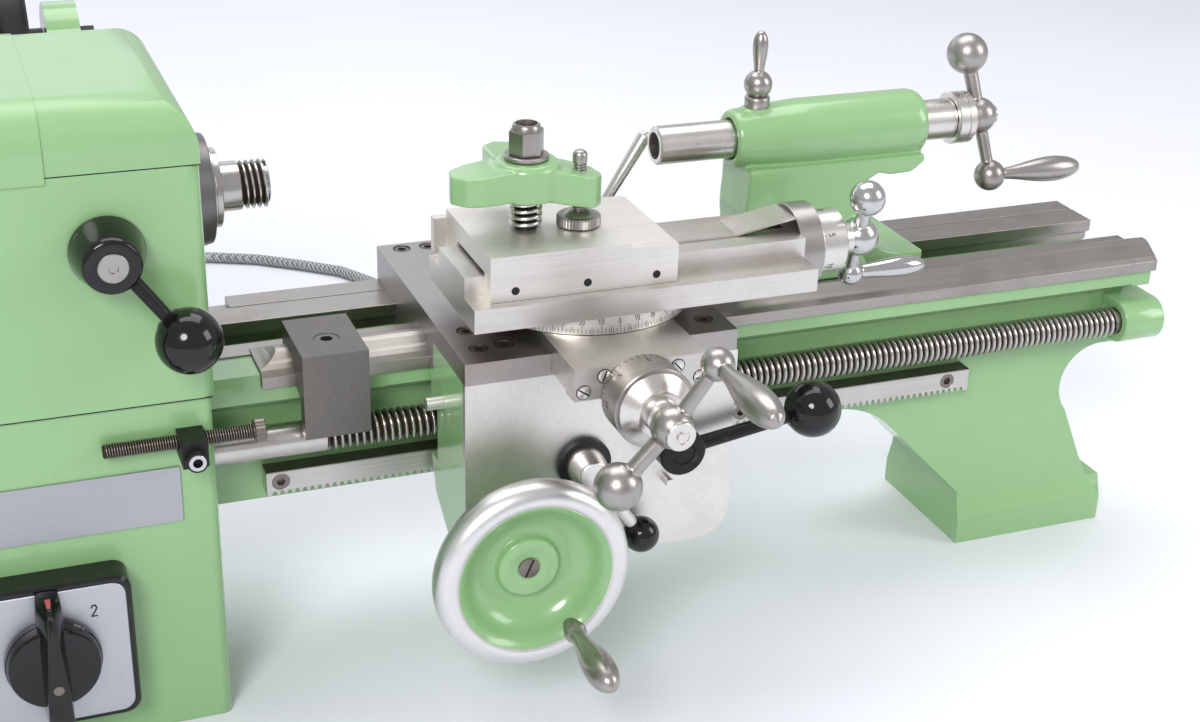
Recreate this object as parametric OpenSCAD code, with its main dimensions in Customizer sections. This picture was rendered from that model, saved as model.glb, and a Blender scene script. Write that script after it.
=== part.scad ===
// Bench lathe with a leadscrew: headstock on a cabinet, bed, saddle with cross and top slides, tailstock.
// X runs along the bed towards the tailstock, Y to the rear and Z up. The origin is on the bench,
// in the middle of the cabinet and under the spindle axis. All sizes are in millimetres.

/* [Layout] */
// Height of the flat ways above the bench
way_z = 145; // [144.8:0.1:145.2]
// Height of the spindle axis above the flat ways
centre_h = 65; // [64:0.5:66]
// Right end of the ways
way_end_x = 551.3; // [548:0.1:556]
// Left end of the raised front way
way_start_x = 121; // [120.5:0.5:122]

/* [Headstock] */
// Left face of the cabinet and the headstock
head_left = -64; // [-66:0.5:-63]
// Right face of the headstock
head_right = 100; // [99.5:0.5:100]
// Half depth of the headstock, front to rear
head_half = 61; // [60.5:0.5:62]
// Height of the seam between cabinet and headstock
seam_z = 147; // [146.5:0.5:148]
// Height of the seam between headstock and lid
lid_z = 240.7; // [240:0.1:241]
// Height of the lid's top
lid_top = 266; // [265:0.5:267]
// Wall thickness of the castings
wall = 6; // [5:0.5:6.5]
// Left face of the gear cover
cover_left = -100; // [-102:1:-100]

/* [Leadscrew and rack] */
// Outer radius of the leadscrew
screw_r = 7; // [6.8:0.1:7]
// Pitch of the leadscrew thread
screw_pitch = 3; // [2:0.5:4]
// Height of the leadscrew axis
screw_z = 115; // [114.8:0.1:115.2]
// Tooth module of rack, pinion and change gears
gear_module = 1; // [1:0.1:1]
// Teeth on the pinion under the rack
pinion_teeth = 16; // [16:1:16]

/* [Saddle] */
// Left face of the saddle
saddle_x = 190.4; // [189:0.1:192]
// Length of the saddle along the bed
saddle_len = 115.6; // [114:0.1:117]
// Front face of saddle and apron
saddle_front = -91.8; // [-92:0.1:-91.5]
// Height of the saddle's top
saddle_top = 161; // [160.5:0.1:161.2]
// Outer radius of the handwheel
wheel_r = 41; // [40:0.5:41.5]

/* [Slides] */
// Left side of the cross slide
cross_x = 225.9; // [225.5:0.1:226.5]
// Width of the cross slide
cross_w = 55.1; // [54:0.1:56]
// Height of the cross slide's top
cross_top = 165; // [164.5:0.1:165.2]
// Radius of the swivel disc at its foot
swivel_r = 45.5; // [44:0.5:47]
// Length of the top slide's base
top_base_len = 147.5; // [146:0.5:149]

/* [Tailstock] */
// Left face of the tailstock's barrel
tail_x = 341; // [340:0.5:342]
// Radius of the quill
quill_r = 8.5; // [8.3:0.1:8.5]
// Length of the quill that stands out of the casting
quill_out = 35.6; // [30:0.1:38]

/* [Hidden] */
$fn = 64;

// Radial clearance of a shaft that turns or slides in its bore
fit = 0.05;
// Gap between faces that slide or turn close to each other
gap = 0.3;
// Overshoot of a cut beyond the faces it opens
over = 1;

// Heights and axes
spindle_z = way_z + centre_h;
screw_y = -43;
cab_right = 98.5;
cab_half = 60;
bed_front = -32;
bed_rear = 32;
bed_bottom = 83.6;
bed_right = 541;
bed_left = 70;
flange_z = 131;
front_way_z = 138.5;
rear_way_z = 134;
lip_end_x = 550;
foot_x = 462;
foot_end_x = 545;
foot_top = 16;

// Gear train behind the left cover
gear_x = -80;
gear_w = 8;
spindle_teeth = 30;
idler_teeth = 64;
screw_teeth = 60;
spindle_gear_r = spindle_teeth * gear_module / 2;
idler_gear_r = idler_teeth * gear_module / 2;
screw_gear_r = screw_teeth * gear_module / 2;
train_dy = screw_y;
train_dz = screw_z - spindle_z;
train_len = norm([train_dy, train_dz]);
reach_a = spindle_gear_r + idler_gear_r;
reach_b = idler_gear_r + screw_gear_r;
idler_along = (reach_a * reach_a - reach_b * reach_b + train_len * train_len) / (2 * train_len);
idler_side = sqrt(reach_a * reach_a - idler_along * idler_along);
idler_y = (train_dy * idler_along - train_dz * idler_side) / train_len;
idler_z = spindle_z + (train_dz * idler_along + train_dy * idler_side) / train_len;
idler_dir = atan2(idler_z - spindle_z, idler_y);
screw_dir = atan2(screw_z - idler_z, screw_y - idler_y);
idler_phase = mate_phase(0, spindle_teeth, idler_teeth, idler_dir);
screw_phase = mate_phase(idler_phase, idler_teeth, screw_teeth, screw_dir);

// Drive: motor in the cabinet, countershaft behind the headstock
motor_y = 5;
motor_z = 56;
motor_r = 40;
motor_x = -24;
motor_end_x = 60;
counter_y = 110;
counter_z = 242;
belt_t = 4;
motor_pulley_r = 18;
counter_wheel_r = 42;
cone_r = [36, 30, 24];
counter_cone_r = [20, 26, 32];
cone_x = 18;
cone_step = 12;
motor_belt_x = -42;
motor_belt_w = 16;

// Gear lever on the headstock's front
lever_x = 64.2;
lever_z = 211;
lever_knob = [88.5, -82, 181];
lever_knob_r = 12.5;

// Switch on the cabinet's front
switch_x = 28.8;
switch_z = 50.4;
switch_w = 60;
switch_front = -73.7;
switch_knob_r = 18.5;

// Carriage stop: a threaded rod in a block on the cabinet's front
stop_y = -64;
stop_z = 131.5;
stop_rod_r = 3;
stop_block_x = 83.7;
stop_block_w = 10;
stop_block_front = -74.5;

// Stop block on the front way
bed_stop_x = 134.5;
bed_stop_w = 26.8;

// Saddle, apron and what they carry
saddle_end = saddle_x + saddle_len;
saddle_rear = 41;
saddle_bottom = 151.8;
apron_end = 306.7;
apron_bottom = 66;
apron_plate_t = 3;
apron_rear = -44;
pinion_r = pinion_teeth * gear_module / 2;
rack_pitch_z = 89;
wheel_x = 209;
wheel_z = rack_pitch_z - pinion_r;
saddle_screw_at = [
    [200.2, 34.7], [212.1, 34.5], [200.5, -60.3], [200.1, -78.1], [211, -77.2], [296.8, -78.3]
];
wheel_y = -115;
rim_r = 6.8;
rack_left = 121;
rack_right = 454.5;
rack_front = -40.5;
rack_top = 99.3;
feed_x = 240;
feed_z = 111;
feed_knob = [262.6, -102, 78.8];
nut_lever_x = 279.4;
nut_lever_z = 114;
nut_lever_knob = [339, -100, 123.7];
nut_crank_r = 8;
nut_crank_angle = 195;
nut_open = 4;
nut_x = 264;
nut_w = 30;
lock_x = 290;
lock_y = 30;
lock_tip = [313.1, 30, 203.9];

// Cross slide
cross_floor = 153;
cross_front = -117;
cross_rear = 32;
cross_end_plate = 9;
cross_screw_x = 253.5;
cross_screw_z = 151.7;
cross_screw_r = 4;
cross_dial_r = 16.5;
cross_hub_y = -148;

// Top slide
swivel_x = 255.6;
swivel_y = -44.5;
swivel_top = 171.5;
top_x = 195.5;
top_front = -88;
top_rear = -26;
top_base_top = 181.3;
tail_top = 190;
tail_front = -75;
tail_rear = -40;
block_x = 203.5;
block_end = 282;
block_front = -83;
block_rear = -24;
block_top = 200;
top_screw_y = -56;
top_screw_z = 180;
top_screw_r = 4;
top_flange_end = 353.5;
top_dial_r = 14;
top_hub_x = 379;

// Tool clamp
stud_x = 227.5;
stud_y = -54;
stud_r = 4.5;
jack_x = 249;
jack_y = -57;
jack_r = 2.7;
clamp_top = 229;

// Tailstock
tail_end_x = 436.5;
tail_base_x = 350;
tail_base_end = 438.5;
quill_x = tail_x - quill_out;
quill_lock_x = 354;
barrel_end_x = 455.5;
crank_hub_x = 469.7;

// Mains cable: route of its centre line from the gland to the coil, chosen by hand
cable_r = 3.35;
cable_z = 3.4;
gland_x = -20;
gland_z = 14;
gland_end = 92;
cable_route = [
    [-20, 92, 14], [-20, 106, 13], [-20, 122, 9.5], [-20, 138, 5.5], [-20, 156, 3.4],
    [-19, 200, 3.4], [-14, 250, 3.4], [-4, 300, 3.4], [13, 346, 3.4], [40, 390, 3.4],
    [73, 424, 3.4], [108, 445, 3.4], [144, 453, 3.4], [179, 449, 3.4], [208, 436, 3.4],
    [233, 418, 3.4], [256, 399, 3.4], [271, 374, 3.4], [279, 344, 3.4], [287, 313, 3.4],
    [300, 284, 3.4], [319, 262, 3.4], [340, 251.8, 3.4], [362, 249.5, 3.4]
];
coil_x = 362;
coil_y = 290;
coil_r = 37;
coil_half_w = 7;
coil_h = 20.4;
plug_at = [406, 249.5, 17.05];

// General shapes
module along_x(x0, x1) {
    translate([x0, 0, 0]) rotate([90, 0, 90]) linear_extrude(x1 - x0) children();
}

module along_y(y0, y1) {
    translate([0, y1, 0]) rotate([90, 0, 0]) linear_extrude(y1 - y0) children();
}

module rod_x(x0, x1, y, z, r, r2 = -1) {
    translate([x0, y, z]) rotate([0, 90, 0]) cylinder(h = x1 - x0, r1 = r, r2 = r2 < 0 ? r : r2);
}

module rod_y(y0, y1, x, z, r, r2 = -1) {
    translate([x, y1, z]) rotate([90, 0, 0]) cylinder(h = y1 - y0, r1 = r, r2 = r2 < 0 ? r : r2);
}

module rod_z(z0, z1, x, y, r, r2 = -1) {
    translate([x, y, z0]) cylinder(h = z1 - z0, r1 = r, r2 = r2 < 0 ? r : r2);
}

module block(x, y, z) {
    translate([x[0], y[0], z[0]]) cube([x[1] - x[0], y[1] - y[0], z[1] - z[0]]);
}

module bar(p, q, r1, r2) {
    d = q - p;
    translate(p) rotate([0, acos(d.z / norm(d)), atan2(d.y, d.x)])
        cylinder(h = norm(d), r1 = r1, r2 = r2, $fn = 32);
}

// Ball whose poles lie along Z, or along the axis that the turn brings Z to
module ball(p, r, turn = [0, 0, 0]) {
    translate(p) rotate(turn) rotate([0, 0, 90]) sphere(r = r, $fn = 48);
}

// Rectangle whose four corners are round
module round_rect(x, y, r) {
    translate([x[0] + r, y[0]]) square([x[1] - x[0] - 2 * r, y[1] - y[0]]);
    translate([x[0], y[0] + r]) square([x[1] - x[0], y[1] - y[0] - 2 * r]);
    for (cx = [x[0] + r, x[1] - r], cy = [y[0] + r, y[1] - r]) translate([cx, cy]) circle(r = r);
}

// Rectangle whose two upper corners are round
module crowned_rect(x, y, left_r, right_r) {
    intersection() {
        translate([x[0], y[0]]) square([x[1] - x[0], y[1] - y[0]]);
        union() {
            translate([x[0] + left_r, y[0]]) square([x[1] - x[0] - left_r - right_r, y[1] - y[0]]);
            translate([x[0], y[0]]) square([left_r, y[1] - y[0] - left_r]);
            translate([x[1] - right_r, y[0]]) square([right_r, y[1] - y[0] - right_r]);
            translate([x[0] + left_r, y[1] - left_r]) circle(r = left_r);
            translate([x[1] - right_r, y[1] - right_r]) circle(r = right_r);
        }
    }
}

function arc(cx, cy, r, from, to, steps) =
    [for (i = [0:steps]) let (a = from + (to - from) * i / steps) [cx + r * cos(a), cy + r * sin(a)]];

// Involute gears: half the angle that a tooth takes at radius r
function involute(a) = tan(a) * 180 / PI - a;
function half_tooth(r, teeth) =
    let (base_r = teeth * gear_module / 2 * cos(20), slack = 0.05 * 360 / (PI * teeth * gear_module))
    90 / teeth - slack + involute(20) - involute(acos(min(1, base_r / r)));
function mate_phase(phase, teeth, mate_teeth, dir) =
    dir + 180 - teeth / mate_teeth * (phase - dir) - 180 / mate_teeth;

module gear_outline(teeth, phase) {
    pitch_r = teeth * gear_module / 2;
    base_r = pitch_r * cos(20);
    root_r = pitch_r - 1.25 * gear_module;
    tip_r = pitch_r + 0.98 * gear_module;
    flank_r = max(base_r, root_r + 0.05);
    steps = 4;
    radii = [for (i = [0:steps]) flank_r + (tip_r - flank_r) * i / steps];
    points = [
        for (t = [0:teeth - 1]) let (mid = phase + t * 360 / teeth) each concat(
            [[root_r, mid - half_tooth(flank_r, teeth)]],
            [for (i = [0:steps]) [radii[i], mid - half_tooth(radii[i], teeth)]],
            [for (i = [steps:-1:0]) [radii[i], mid + half_tooth(radii[i], teeth)]],
            [[root_r, mid + half_tooth(flank_r, teeth)]]
        )
    ];
    polygon([for (p = points) [p[0] * cos(p[1]), p[0] * sin(p[1])]]);
}

// Ring that runs round two pulleys, drawn in the plane of the belt
module belt_shape(p, pr, q, qr) {
    a = atan2(q.y - p.y, q.x - p.x);
    b = acos((pr - qr) / norm(q - p));
    polygon(concat(
        arc(p.x, p.y, pr, a + b, a - b + 360, 28),
        arc(q.x, q.y, qr, a - b, a + b, 28)
    ));
}

module belt(x, w, p, pr, q, qr) {
    along_x(x, x + w) difference() {
        belt_shape(p, pr + gap + belt_t, q, qr + gap + belt_t);
        belt_shape(p, pr + gap, q, qr + gap);
    }
}

// Cone pulley with one flat step per radius and a low rim between the steps
module cone_pulley(radii, bore_r) {
    rim = 1.2;
    difference() {
        union() {
            for (i = [0:len(radii) - 1]) {
                rod_x(cone_x + i * cone_step, cone_x + (i + 1) * cone_step, 0, 0, radii[i]);
            }
            for (i = [0:len(radii)]) {
                r = max(radii[max(0, i - 1)], radii[min(i, len(radii) - 1)]);
                rod_x(cone_x + i * cone_step - rim / 2, cone_x + i * cone_step + rim / 2, 0, 0, r + 2);
            }
        }
        rod_x(cone_x - over - rim, cone_x + 3 * cone_step + over + rim, 0, 0, bore_r);
    }
}

// Turned handle that stands along +Z, thin at its foot and round at its end
function handle_r(t, foot_r, swell_r) =
    t < 0.66 ? foot_r + (swell_r - foot_r) * pow(sin(90 * t / 0.66), 2)
             : swell_r * sqrt(max(0, 1 - pow((t - 0.66) / 0.34, 2)));
module turned_handle(length, foot_r, swell_r) {
    steps = 20;
    rotate_extrude($fn = 40) polygon(concat(
        [[0, 0]],
        [for (i = [0:steps - 1]) [handle_r(i / steps, foot_r, swell_r), length * i / steps]],
        [[0, length]]
    ));
}

// Socket-head cap screw that stands along +Z, with its head's top at the origin
module cap_screw(head_r, head_h, shank_r, length) {
    difference() {
        translate([0, 0, -head_h]) cylinder(h = head_h, r = head_r, $fn = 40);
        translate([0, 0, -head_h * 0.6]) cylinder(h = head_h, r = head_r * 0.55, $fn = 6);
    }
    translate([0, 0, -length]) cylinder(h = length - head_h, r = shank_r, $fn = 24);
}

// Hub and arms of a ball crank; hub, big and small are points, and turn brings Z to the crank's axis
module ball_crank(hub, hub_r, big, big_r, small, small_r, arm_r, turn) {
    ball(hub, hub_r, turn);
    ball(big, big_r, turn);
    ball(small, small_r, turn);
    bar(hub, big, arm_r, arm_r * 1.15);
    bar(hub, small, arm_r, arm_r * 0.85);
}

// Headstock and cabinet
module cabinet() {
    color("darkseagreen") difference() {
        linear_extrude(seam_z) round_rect([head_left, cab_right], [-cab_half, cab_half], 4);
        block([head_left + wall, cab_right - wall], [-cab_half + wall, cab_half - wall],
              [wall, seam_z + over]);
        block([cab_right - wall - over, cab_right + over], [bed_front - 0.1, bed_rear + 0.1],
              [bed_bottom - 0.1, seam_z + over]);
        block([cab_right - wall - over, cab_right + over], [-43.2, 41.9], [flange_z - 7.5, seam_z + over]);
        rod_x(head_left - over, cab_right + over, screw_y, screw_z, screw_r + fit);
        block([motor_belt_x - 4, motor_belt_x + motor_belt_w + 4], [cab_half - wall - over, cab_half + over],
              [76, seam_z + over]);
        rod_y(cab_half - wall - over, cab_half + over, gland_x, gland_z, 5);
        block([switch_x - 21, switch_x + 21], [-cab_half - over, -cab_half + wall + over],
              [switch_z - 21, switch_z + 21]);
    }
}

module headstock_casting() {
    bearing_wall = 16;
    left_wall = 12;
    color("darkseagreen") {
        difference() {
            translate([0, 0, seam_z]) linear_extrude(lid_z - seam_z)
                round_rect([head_left, head_right], [-head_half, head_half], 5);
            block([head_left + left_wall, head_right - bearing_wall], [-head_half + wall, head_half - wall],
                  [seam_z - over, lid_z + over]);
            rod_x(head_left - over, head_right + over, 0, spindle_z, 19);
            rod_y(-head_half - over, -head_half + wall + over, lever_x, lever_z, 5 + fit);
            block([motor_belt_x - 4, motor_belt_x + motor_belt_w + 4],
                  [head_half - wall - over, head_half + over], [seam_z - over, lid_z + over]);
            block([cone_x - 3, cone_x + 3 * cone_step + 3], [head_half - wall - over, head_half + over],
                  [186, lid_z + over]);
        }
        rod_x(gear_x - 2, head_left + over, idler_y, idler_z, 6);
    }
}

// The lid's outer form, or its hollow if the inset is above zero
module lid_body(inset) {
    intersection() {
        along_x(head_left + inset, head_right - inset)
            crowned_rect([-head_half + inset, head_half - inset], [lid_z - inset, lid_top - inset],
                         16 - inset, 20 - inset);
        along_y(-head_half, head_half)
            crowned_rect([head_left + inset, head_right - inset], [lid_z - inset, lid_top - inset],
                         4, 20 - inset);
    }
}

// The left part of the lid stands a little proud of the rest and laps over the seam in front
module lid_cover() {
    cover_x = 45;
    proud = 1;
    lap = 2.2;
    difference() {
        intersection() {
            along_x(head_left, cover_x)
                crowned_rect([-head_half - proud, head_half], [lid_z - lap, lid_top + 0.6], 16 + proud, 20);
            along_y(-head_half - proud, head_half)
                crowned_rect([head_left, cover_x + 8], [lid_z - lap, lid_top + 0.6], 4, 4);
        }
        block([head_left - over, cover_x + over], [-head_half, head_half + over],
              [lid_z - lap - over, lid_z]);
    }
}

module headstock_lid() {
    color("darkseagreen") difference() {
        union() {
            lid_body(0);
            lid_cover();
        }
        lid_body(4);
        block([cone_x - 3, cone_x + 3 * cone_step + 3], [head_half - 22, head_half + over],
              [lid_z - over, lid_top - 3]);
        block([motor_belt_x - 4, motor_belt_x + motor_belt_w + 4], [head_half - 12, head_half + over],
              [lid_z - over, 252]);
    }
}

module gear_cover() {
    color("darkseagreen") difference() {
        along_x(cover_left, head_left - 0.2) crowned_rect([-80, 60], [2, 262], 22, 22);
        along_x(cover_left + 4, head_left + over) crowned_rect([-76, 56], [6, 258], 18, 18);
        rod_x(cover_left - over, cover_left + 4 + over, 0, spindle_z, 12);
    }
}

module bearings() {
    color("peru") {
        for (x = [[head_left, head_left + 12], [head_right - 16, head_right]]) difference() {
            rod_x(x[0], x[1], 0, spindle_z, 19);
            rod_x(x[0] - over, x[1] + over, 0, spindle_z, 15 + fit);
        }
    }
}

module nameplate() {
    color("silver") block([-30, 84.2], [-cab_half - 1, -cab_half], [95, 119]);
}

module switch_plate() {
    half = switch_w / 2;
    lip = 1.8;
    plate_rear = switch_front + 1.5;
    color("silver") difference() {
        along_y(switch_front, plate_rear) round_rect([switch_x - half, switch_x + half],
                                                     [switch_z - half, switch_z + half], 6);
        rod_y(switch_front - over, plate_rear + over, switch_x, switch_z, 4 + fit);
    }
    color("dimgray") difference() {
        union() {
            along_y(plate_rear, -cab_half) round_rect([switch_x - half - lip, switch_x + half + lip],
                                                      [switch_z - half - lip, switch_z + half + lip], 7);
            block([switch_x - 20, switch_x + 20], [-cab_half, -38], [switch_z - 20, switch_z + 20]);
        }
        rod_y(switch_front, -45, switch_x, switch_z, 4 + fit);
    }
}

module switch_knob() {
    disc_front = switch_front - 8.7;
    grip_front = switch_front - 16.8;
    color("dimgray") {
        rod_y(disc_front, switch_front - gap, switch_x, switch_z, switch_knob_r - 1, switch_knob_r);
        rod_y(switch_front - over, -46, switch_x, switch_z, 4);
        along_y(grip_front, switch_front - 0.8)
            round_rect([switch_x - 5.2, switch_x + 5.2], [switch_z - 28, switch_z + 30], 5);
    }
}

// Motor, countershaft and belts
module motor() {
    color("slategray") difference() {
        union() {
            rod_x(motor_x, motor_end_x, motor_y, motor_z, motor_r);
            block([motor_x + 12, motor_end_x - 12], [motor_y - 34, motor_y + 34], [wall, wall + 8]);
            block([motor_x + 16, motor_end_x - 16], [motor_y - 18, motor_y + 18], [wall, wall + 20]);
        }
        rod_x(motor_x - over, motor_x + 24, motor_y, motor_z, 6 + fit);
    }
}

module motor_pulley() {
    color("dimgray") {
        rod_x(motor_belt_x, motor_belt_x + motor_belt_w, motor_y, motor_z, motor_pulley_r);
        rod_x(motor_belt_x - 4, motor_x + 22, motor_y, motor_z, 6);
        for (x = [motor_belt_x - 2, motor_belt_x + motor_belt_w]) {
            rod_x(x, x + 1.6, motor_y, motor_z, motor_pulley_r + 2);
        }
    }
}

module countershaft_bracket() {
    color("darkseagreen") {
        for (x = [[-60, -48], [62.5, 76.5]]) difference() {
            along_x(x[0], x[1]) {
                polygon([[head_half, 176], [head_half, 232], [100, 258], [122, 228]]);
                translate([counter_y, counter_z]) circle(r = 20);
            }
            rod_x(x[0] - over, x[1] + over, counter_y, counter_z, 6 + fit);
        }
        rod_x(-54, 68, 68, 186, 6);
    }
}

module countershaft() {
    color("dimgray") {
        difference() {
            rod_x(-64, 86, counter_y, counter_z, 6);
            rod_x(84.5, 86 + over, counter_y, counter_z, 2);
        }
        translate([77, counter_y, counter_z]) rotate([0, 90, 0]) cylinder(h = 6.5, r = 9, $fn = 6);
        rod_x(55.2, 62, counter_y, counter_z, 9);
        translate([0, counter_y, counter_z]) cone_pulley(counter_cone_r, 5.9);
        rod_x(motor_belt_x, motor_belt_x + motor_belt_w, counter_y, counter_z, counter_wheel_r);
        for (x = [motor_belt_x - 2, motor_belt_x + motor_belt_w]) {
            rod_x(x, x + 1.6, counter_y, counter_z, counter_wheel_r + 2);
        }
    }
}

module drive_belts() {
    color("black") {
        belt(cone_x + cone_step + 1.5, 9, [0, spindle_z], cone_r[1], [counter_y, counter_z],
              counter_cone_r[1]);
        belt(motor_belt_x + 2, 12, [motor_y, motor_z], motor_pulley_r, [counter_y, counter_z],
              counter_wheel_r);
    }
}

// Spindle with its nose, and the pulley and gears that turn with it
module spindle() {
    nose_x = 123.2;
    nose_end = 135.2;
    thread_pitch = 2.5;
    turns = 4;
    color("silver") {
        difference() {
            union() {
                rod_x(-96, head_left - 2, 0, spindle_z, 10);
                rod_x(head_left - 2, head_right + gap, 0, spindle_z, 15);
                rod_x(head_right + gap, 111, 0, spindle_z, 24, 22);
                rod_x(111, 112.6, 0, spindle_z, 17);
                rod_x(112.6, 115, 0, spindle_z, 16);
                rod_x(115, nose_x, 0, spindle_z, 10);
                rod_x(nose_x, nose_end, 0, spindle_z, 8.1);
                for (i = [0:turns - 1]) {
                    x = nose_x + i * thread_pitch + 0.6;
                    rod_x(x, x + 0.6, 0, spindle_z, 8.1, 9.45);
                    rod_x(x + 0.6, x + 1.1, 0, spindle_z, 9.45);
                    rod_x(x + 1.1, x + 1.7, 0, spindle_z, 9.45, 8.1);
                }
                translate([gear_x, 0, spindle_z]) rotate([90, 0, 90])
                    linear_extrude(gear_w) gear_outline(spindle_teeth, 0);
            }
            rod_x(-97, nose_end + over, 0, spindle_z, 5.1);
        }
    }
}

module spindle_pulley() {
    color("dimgray") translate([0, 0, spindle_z]) cone_pulley(cone_r, 15.02);
}

module idler_gear() {
    color("peru") difference() {
        translate([gear_x, idler_y, idler_z]) rotate([90, 0, 90])
            linear_extrude(gear_w) gear_outline(idler_teeth, idler_phase);
        rod_x(gear_x - over, gear_x + gear_w + over, idler_y, idler_z, 6 + fit);
    }
}

// Leadscrew with its end gear; the thread is drawn as rings of the same pitch and depth
module leadscrew() {
    thread_start = 145.3;
    thread_end = 529;
    journal_r = 6;
    journal_end = 552.5;
    root_r = screw_r - 1.7;
    turns = floor((thread_end - thread_start) / screw_pitch);
    thread = [
        for (i = [0:turns - 1]) let (x = thread_start + i * screw_pitch)
        each [[root_r, x + 0.3], [root_r, x + 1.1], [screw_r, x + 1.7], [screw_r, x + 2.7]]
    ];
    color("silver") {
        translate([0, screw_y, screw_z]) rotate([0, 90, 0]) rotate_extrude() polygon(concat(
            [[0, gear_x - 4], [screw_r, gear_x - 4], [screw_r, thread_start]], thread,
            [[root_r, thread_end], [journal_r, thread_end], [journal_r, journal_end], [0, journal_end]]
        ));
        difference() {
            translate([gear_x, screw_y, screw_z]) rotate([90, 0, 90])
                linear_extrude(gear_w) gear_outline(screw_teeth, screw_phase);
            rod_x(gear_x - over, gear_x + gear_w + over, screw_y, screw_z, screw_r - 0.1);
        }
    }
}

module gear_lever() {
    hub_front = -78.5;
    color("black") {
        rod_y(hub_front, -head_half - gap, lever_x, lever_z, 14, 9.9);
        rod_y(-head_half - gap - over, -50, lever_x, lever_z, 5);
        rod_y(hub_front - 1.2, hub_front, lever_x, lever_z, 5.4);
        bar([lever_x + 5, -72, lever_z - 5], lever_knob, 2.8, 2.5);
        ball(lever_knob, lever_knob_r);
    }
}

// Bed
module bed_casting() {
    cavity = 24;
    cavity_top = 128;
    color("darkseagreen") difference() {
        union() {
            along_x(bed_left, bed_right) polygon([
                [bed_front, bed_bottom], [bed_rear, bed_bottom], [bed_rear, 124], [40.9, flange_z - 1],
                [40.9, rear_way_z], [14.4, rear_way_z], [14.4, cavity_top], [cavity, cavity_top],
                [cavity, 92], [-cavity, 92], [-cavity, cavity_top], [-12, cavity_top],
                [-12, front_way_z], [-41, front_way_z], [-41, flange_z + 1], [bed_front, 126]
            ]);
            block([bed_right - over, lip_end_x], [-41, -12], [flange_z, front_way_z]);
            block([bed_right - over, lip_end_x], [14.4, 40.9], [flange_z - 4, rear_way_z]);
            block([bed_left, way_start_x - 0.1], [-41, -22.1], [front_way_z - over, 144.3]);
            along_y(bed_front, bed_rear) polygon(concat(
                [[388, 100]], arc(388, 40, 43.6, 90, 46, 8), [[foot_x, 27], [foot_x, 2]],
                [[foot_end_x, 2], [foot_end_x, foot_top], [538, 24], [531.3, 36.4], [514.4, 74]],
                arc(534, 78, 20.4, 187, 80, 10), [[bed_right, 98.4], [bed_right, 100]]
            ));
            block([foot_x, foot_end_x], [-35.6, 35.6], [0, foot_top - 3]);
            along_x(foot_x, foot_end_x) polygon([
                [-35.6, foot_top - 3.5], [35.6, foot_top - 3.5], [bed_rear, foot_top + 8],
                [bed_front, foot_top + 8]
            ]);
        }
        rod_y(bed_front - over, bed_rear + over, 534, 78, 20.4);
        block([534, bed_right + over], [bed_front - over, bed_rear + over], [70, 98.4]);
        for (x = [foot_x + 30, foot_end_x - 25]) rod_z(-over, 14, x, 0, 3.4);
        for (x = [127, 335.8, 442.8]) rod_y(-33, -26, x, 94.4, 2.1);
    }
}

module front_way() {
    scoop_r = 18;
    color("lightsteelblue") {
        difference() {
            along_x(way_start_x, way_end_x) polygon([
                [-43, front_way_z], [-43, 143.5], [-40.6, 145.5], [-34.1, 149.9], [-31.6, 150.6],
                [-29.1, 150.6], [-16.1, way_z], [-10.8, way_z], [-10.8, front_way_z]
            ]);
            rod_y(-45, -15, 116, way_z + scoop_r, scoop_r);
        }
        block([cab_right - 8, way_start_x], [-22, -10.8], [front_way_z, way_z]);
    }
}

module rear_way() {
    groove_y = 28.7;
    color("lightsteelblue") difference() {
        along_x(cab_right - 8, way_end_x) polygon([
            [11.6, way_z], [11.6, 139.4], [14.4, 137.6], [14.4, rear_way_z],
            [41.7, rear_way_z], [41.7, way_z]
        ]);
        block([cab_right - 9, way_end_x + over], [groove_y - 0.4, groove_y + 0.4],
              [way_z - 1.2, way_z + over]);
        block([cab_right - 9, 121.8], [groove_y, 42], [way_z - 4, way_z + over]);
    }
}

module rack() {
    pitch = PI * gear_module;
    first = ceil((rack_left - wheel_x) / pitch) + 1;
    last = floor((rack_right - wheel_x) / pitch) - 1;
    tip = rack_pitch_z - 0.9 * gear_module;
    root = rack_pitch_z + 1.2 * gear_module;
    mouth = pitch / 4 + 0.9 * gear_module * tan(20) + 0.05;
    floor_w = pitch / 4 - 1.2 * gear_module * tan(20) + 0.05;
    color("silver") difference() {
        along_y(rack_front, bed_front) polygon(concat(
            [[rack_left, rack_top], [rack_left, tip]],
            [for (i = [first:last]) let (x = wheel_x + i * pitch)
                each [[x - mouth, tip], [x - floor_w, root], [x + floor_w, root], [x + mouth, tip]]],
            [[rack_right, tip], [rack_right, rack_top]]
        ));
        for (x = [127, 335.8, 442.8]) {
            rod_y(rack_front - over, rack_front + 4, x, 94.4, 3.6);
            rod_y(rack_front, bed_front + over, x, 94.4, 2.1);
        }
    }
}

module rack_screws() {
    color("dimgray") for (x = [127, 335.8, 442.8]) {
        translate([x, rack_front + 0.2, 94.4]) rotate([90, 0, 0]) cap_screw(3.5, 3.6, 2, 13);
    }
}

module leadscrew_bracket() {
    boss_r = 10.4;
    end_x = 553;
    color("darkseagreen") difference() {
        union() {
            rod_x(531, end_x, screw_y, screw_z, boss_r);
            block([531, bed_right], [screw_y, bed_front], [screw_z - boss_r, screw_z + boss_r]);
            block([bed_right, end_x], [screw_y, -22], [screw_z - boss_r, screw_z + boss_r]);
        }
        rod_x(530, end_x + over, screw_y, screw_z, 6 + fit);
    }
}

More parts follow.
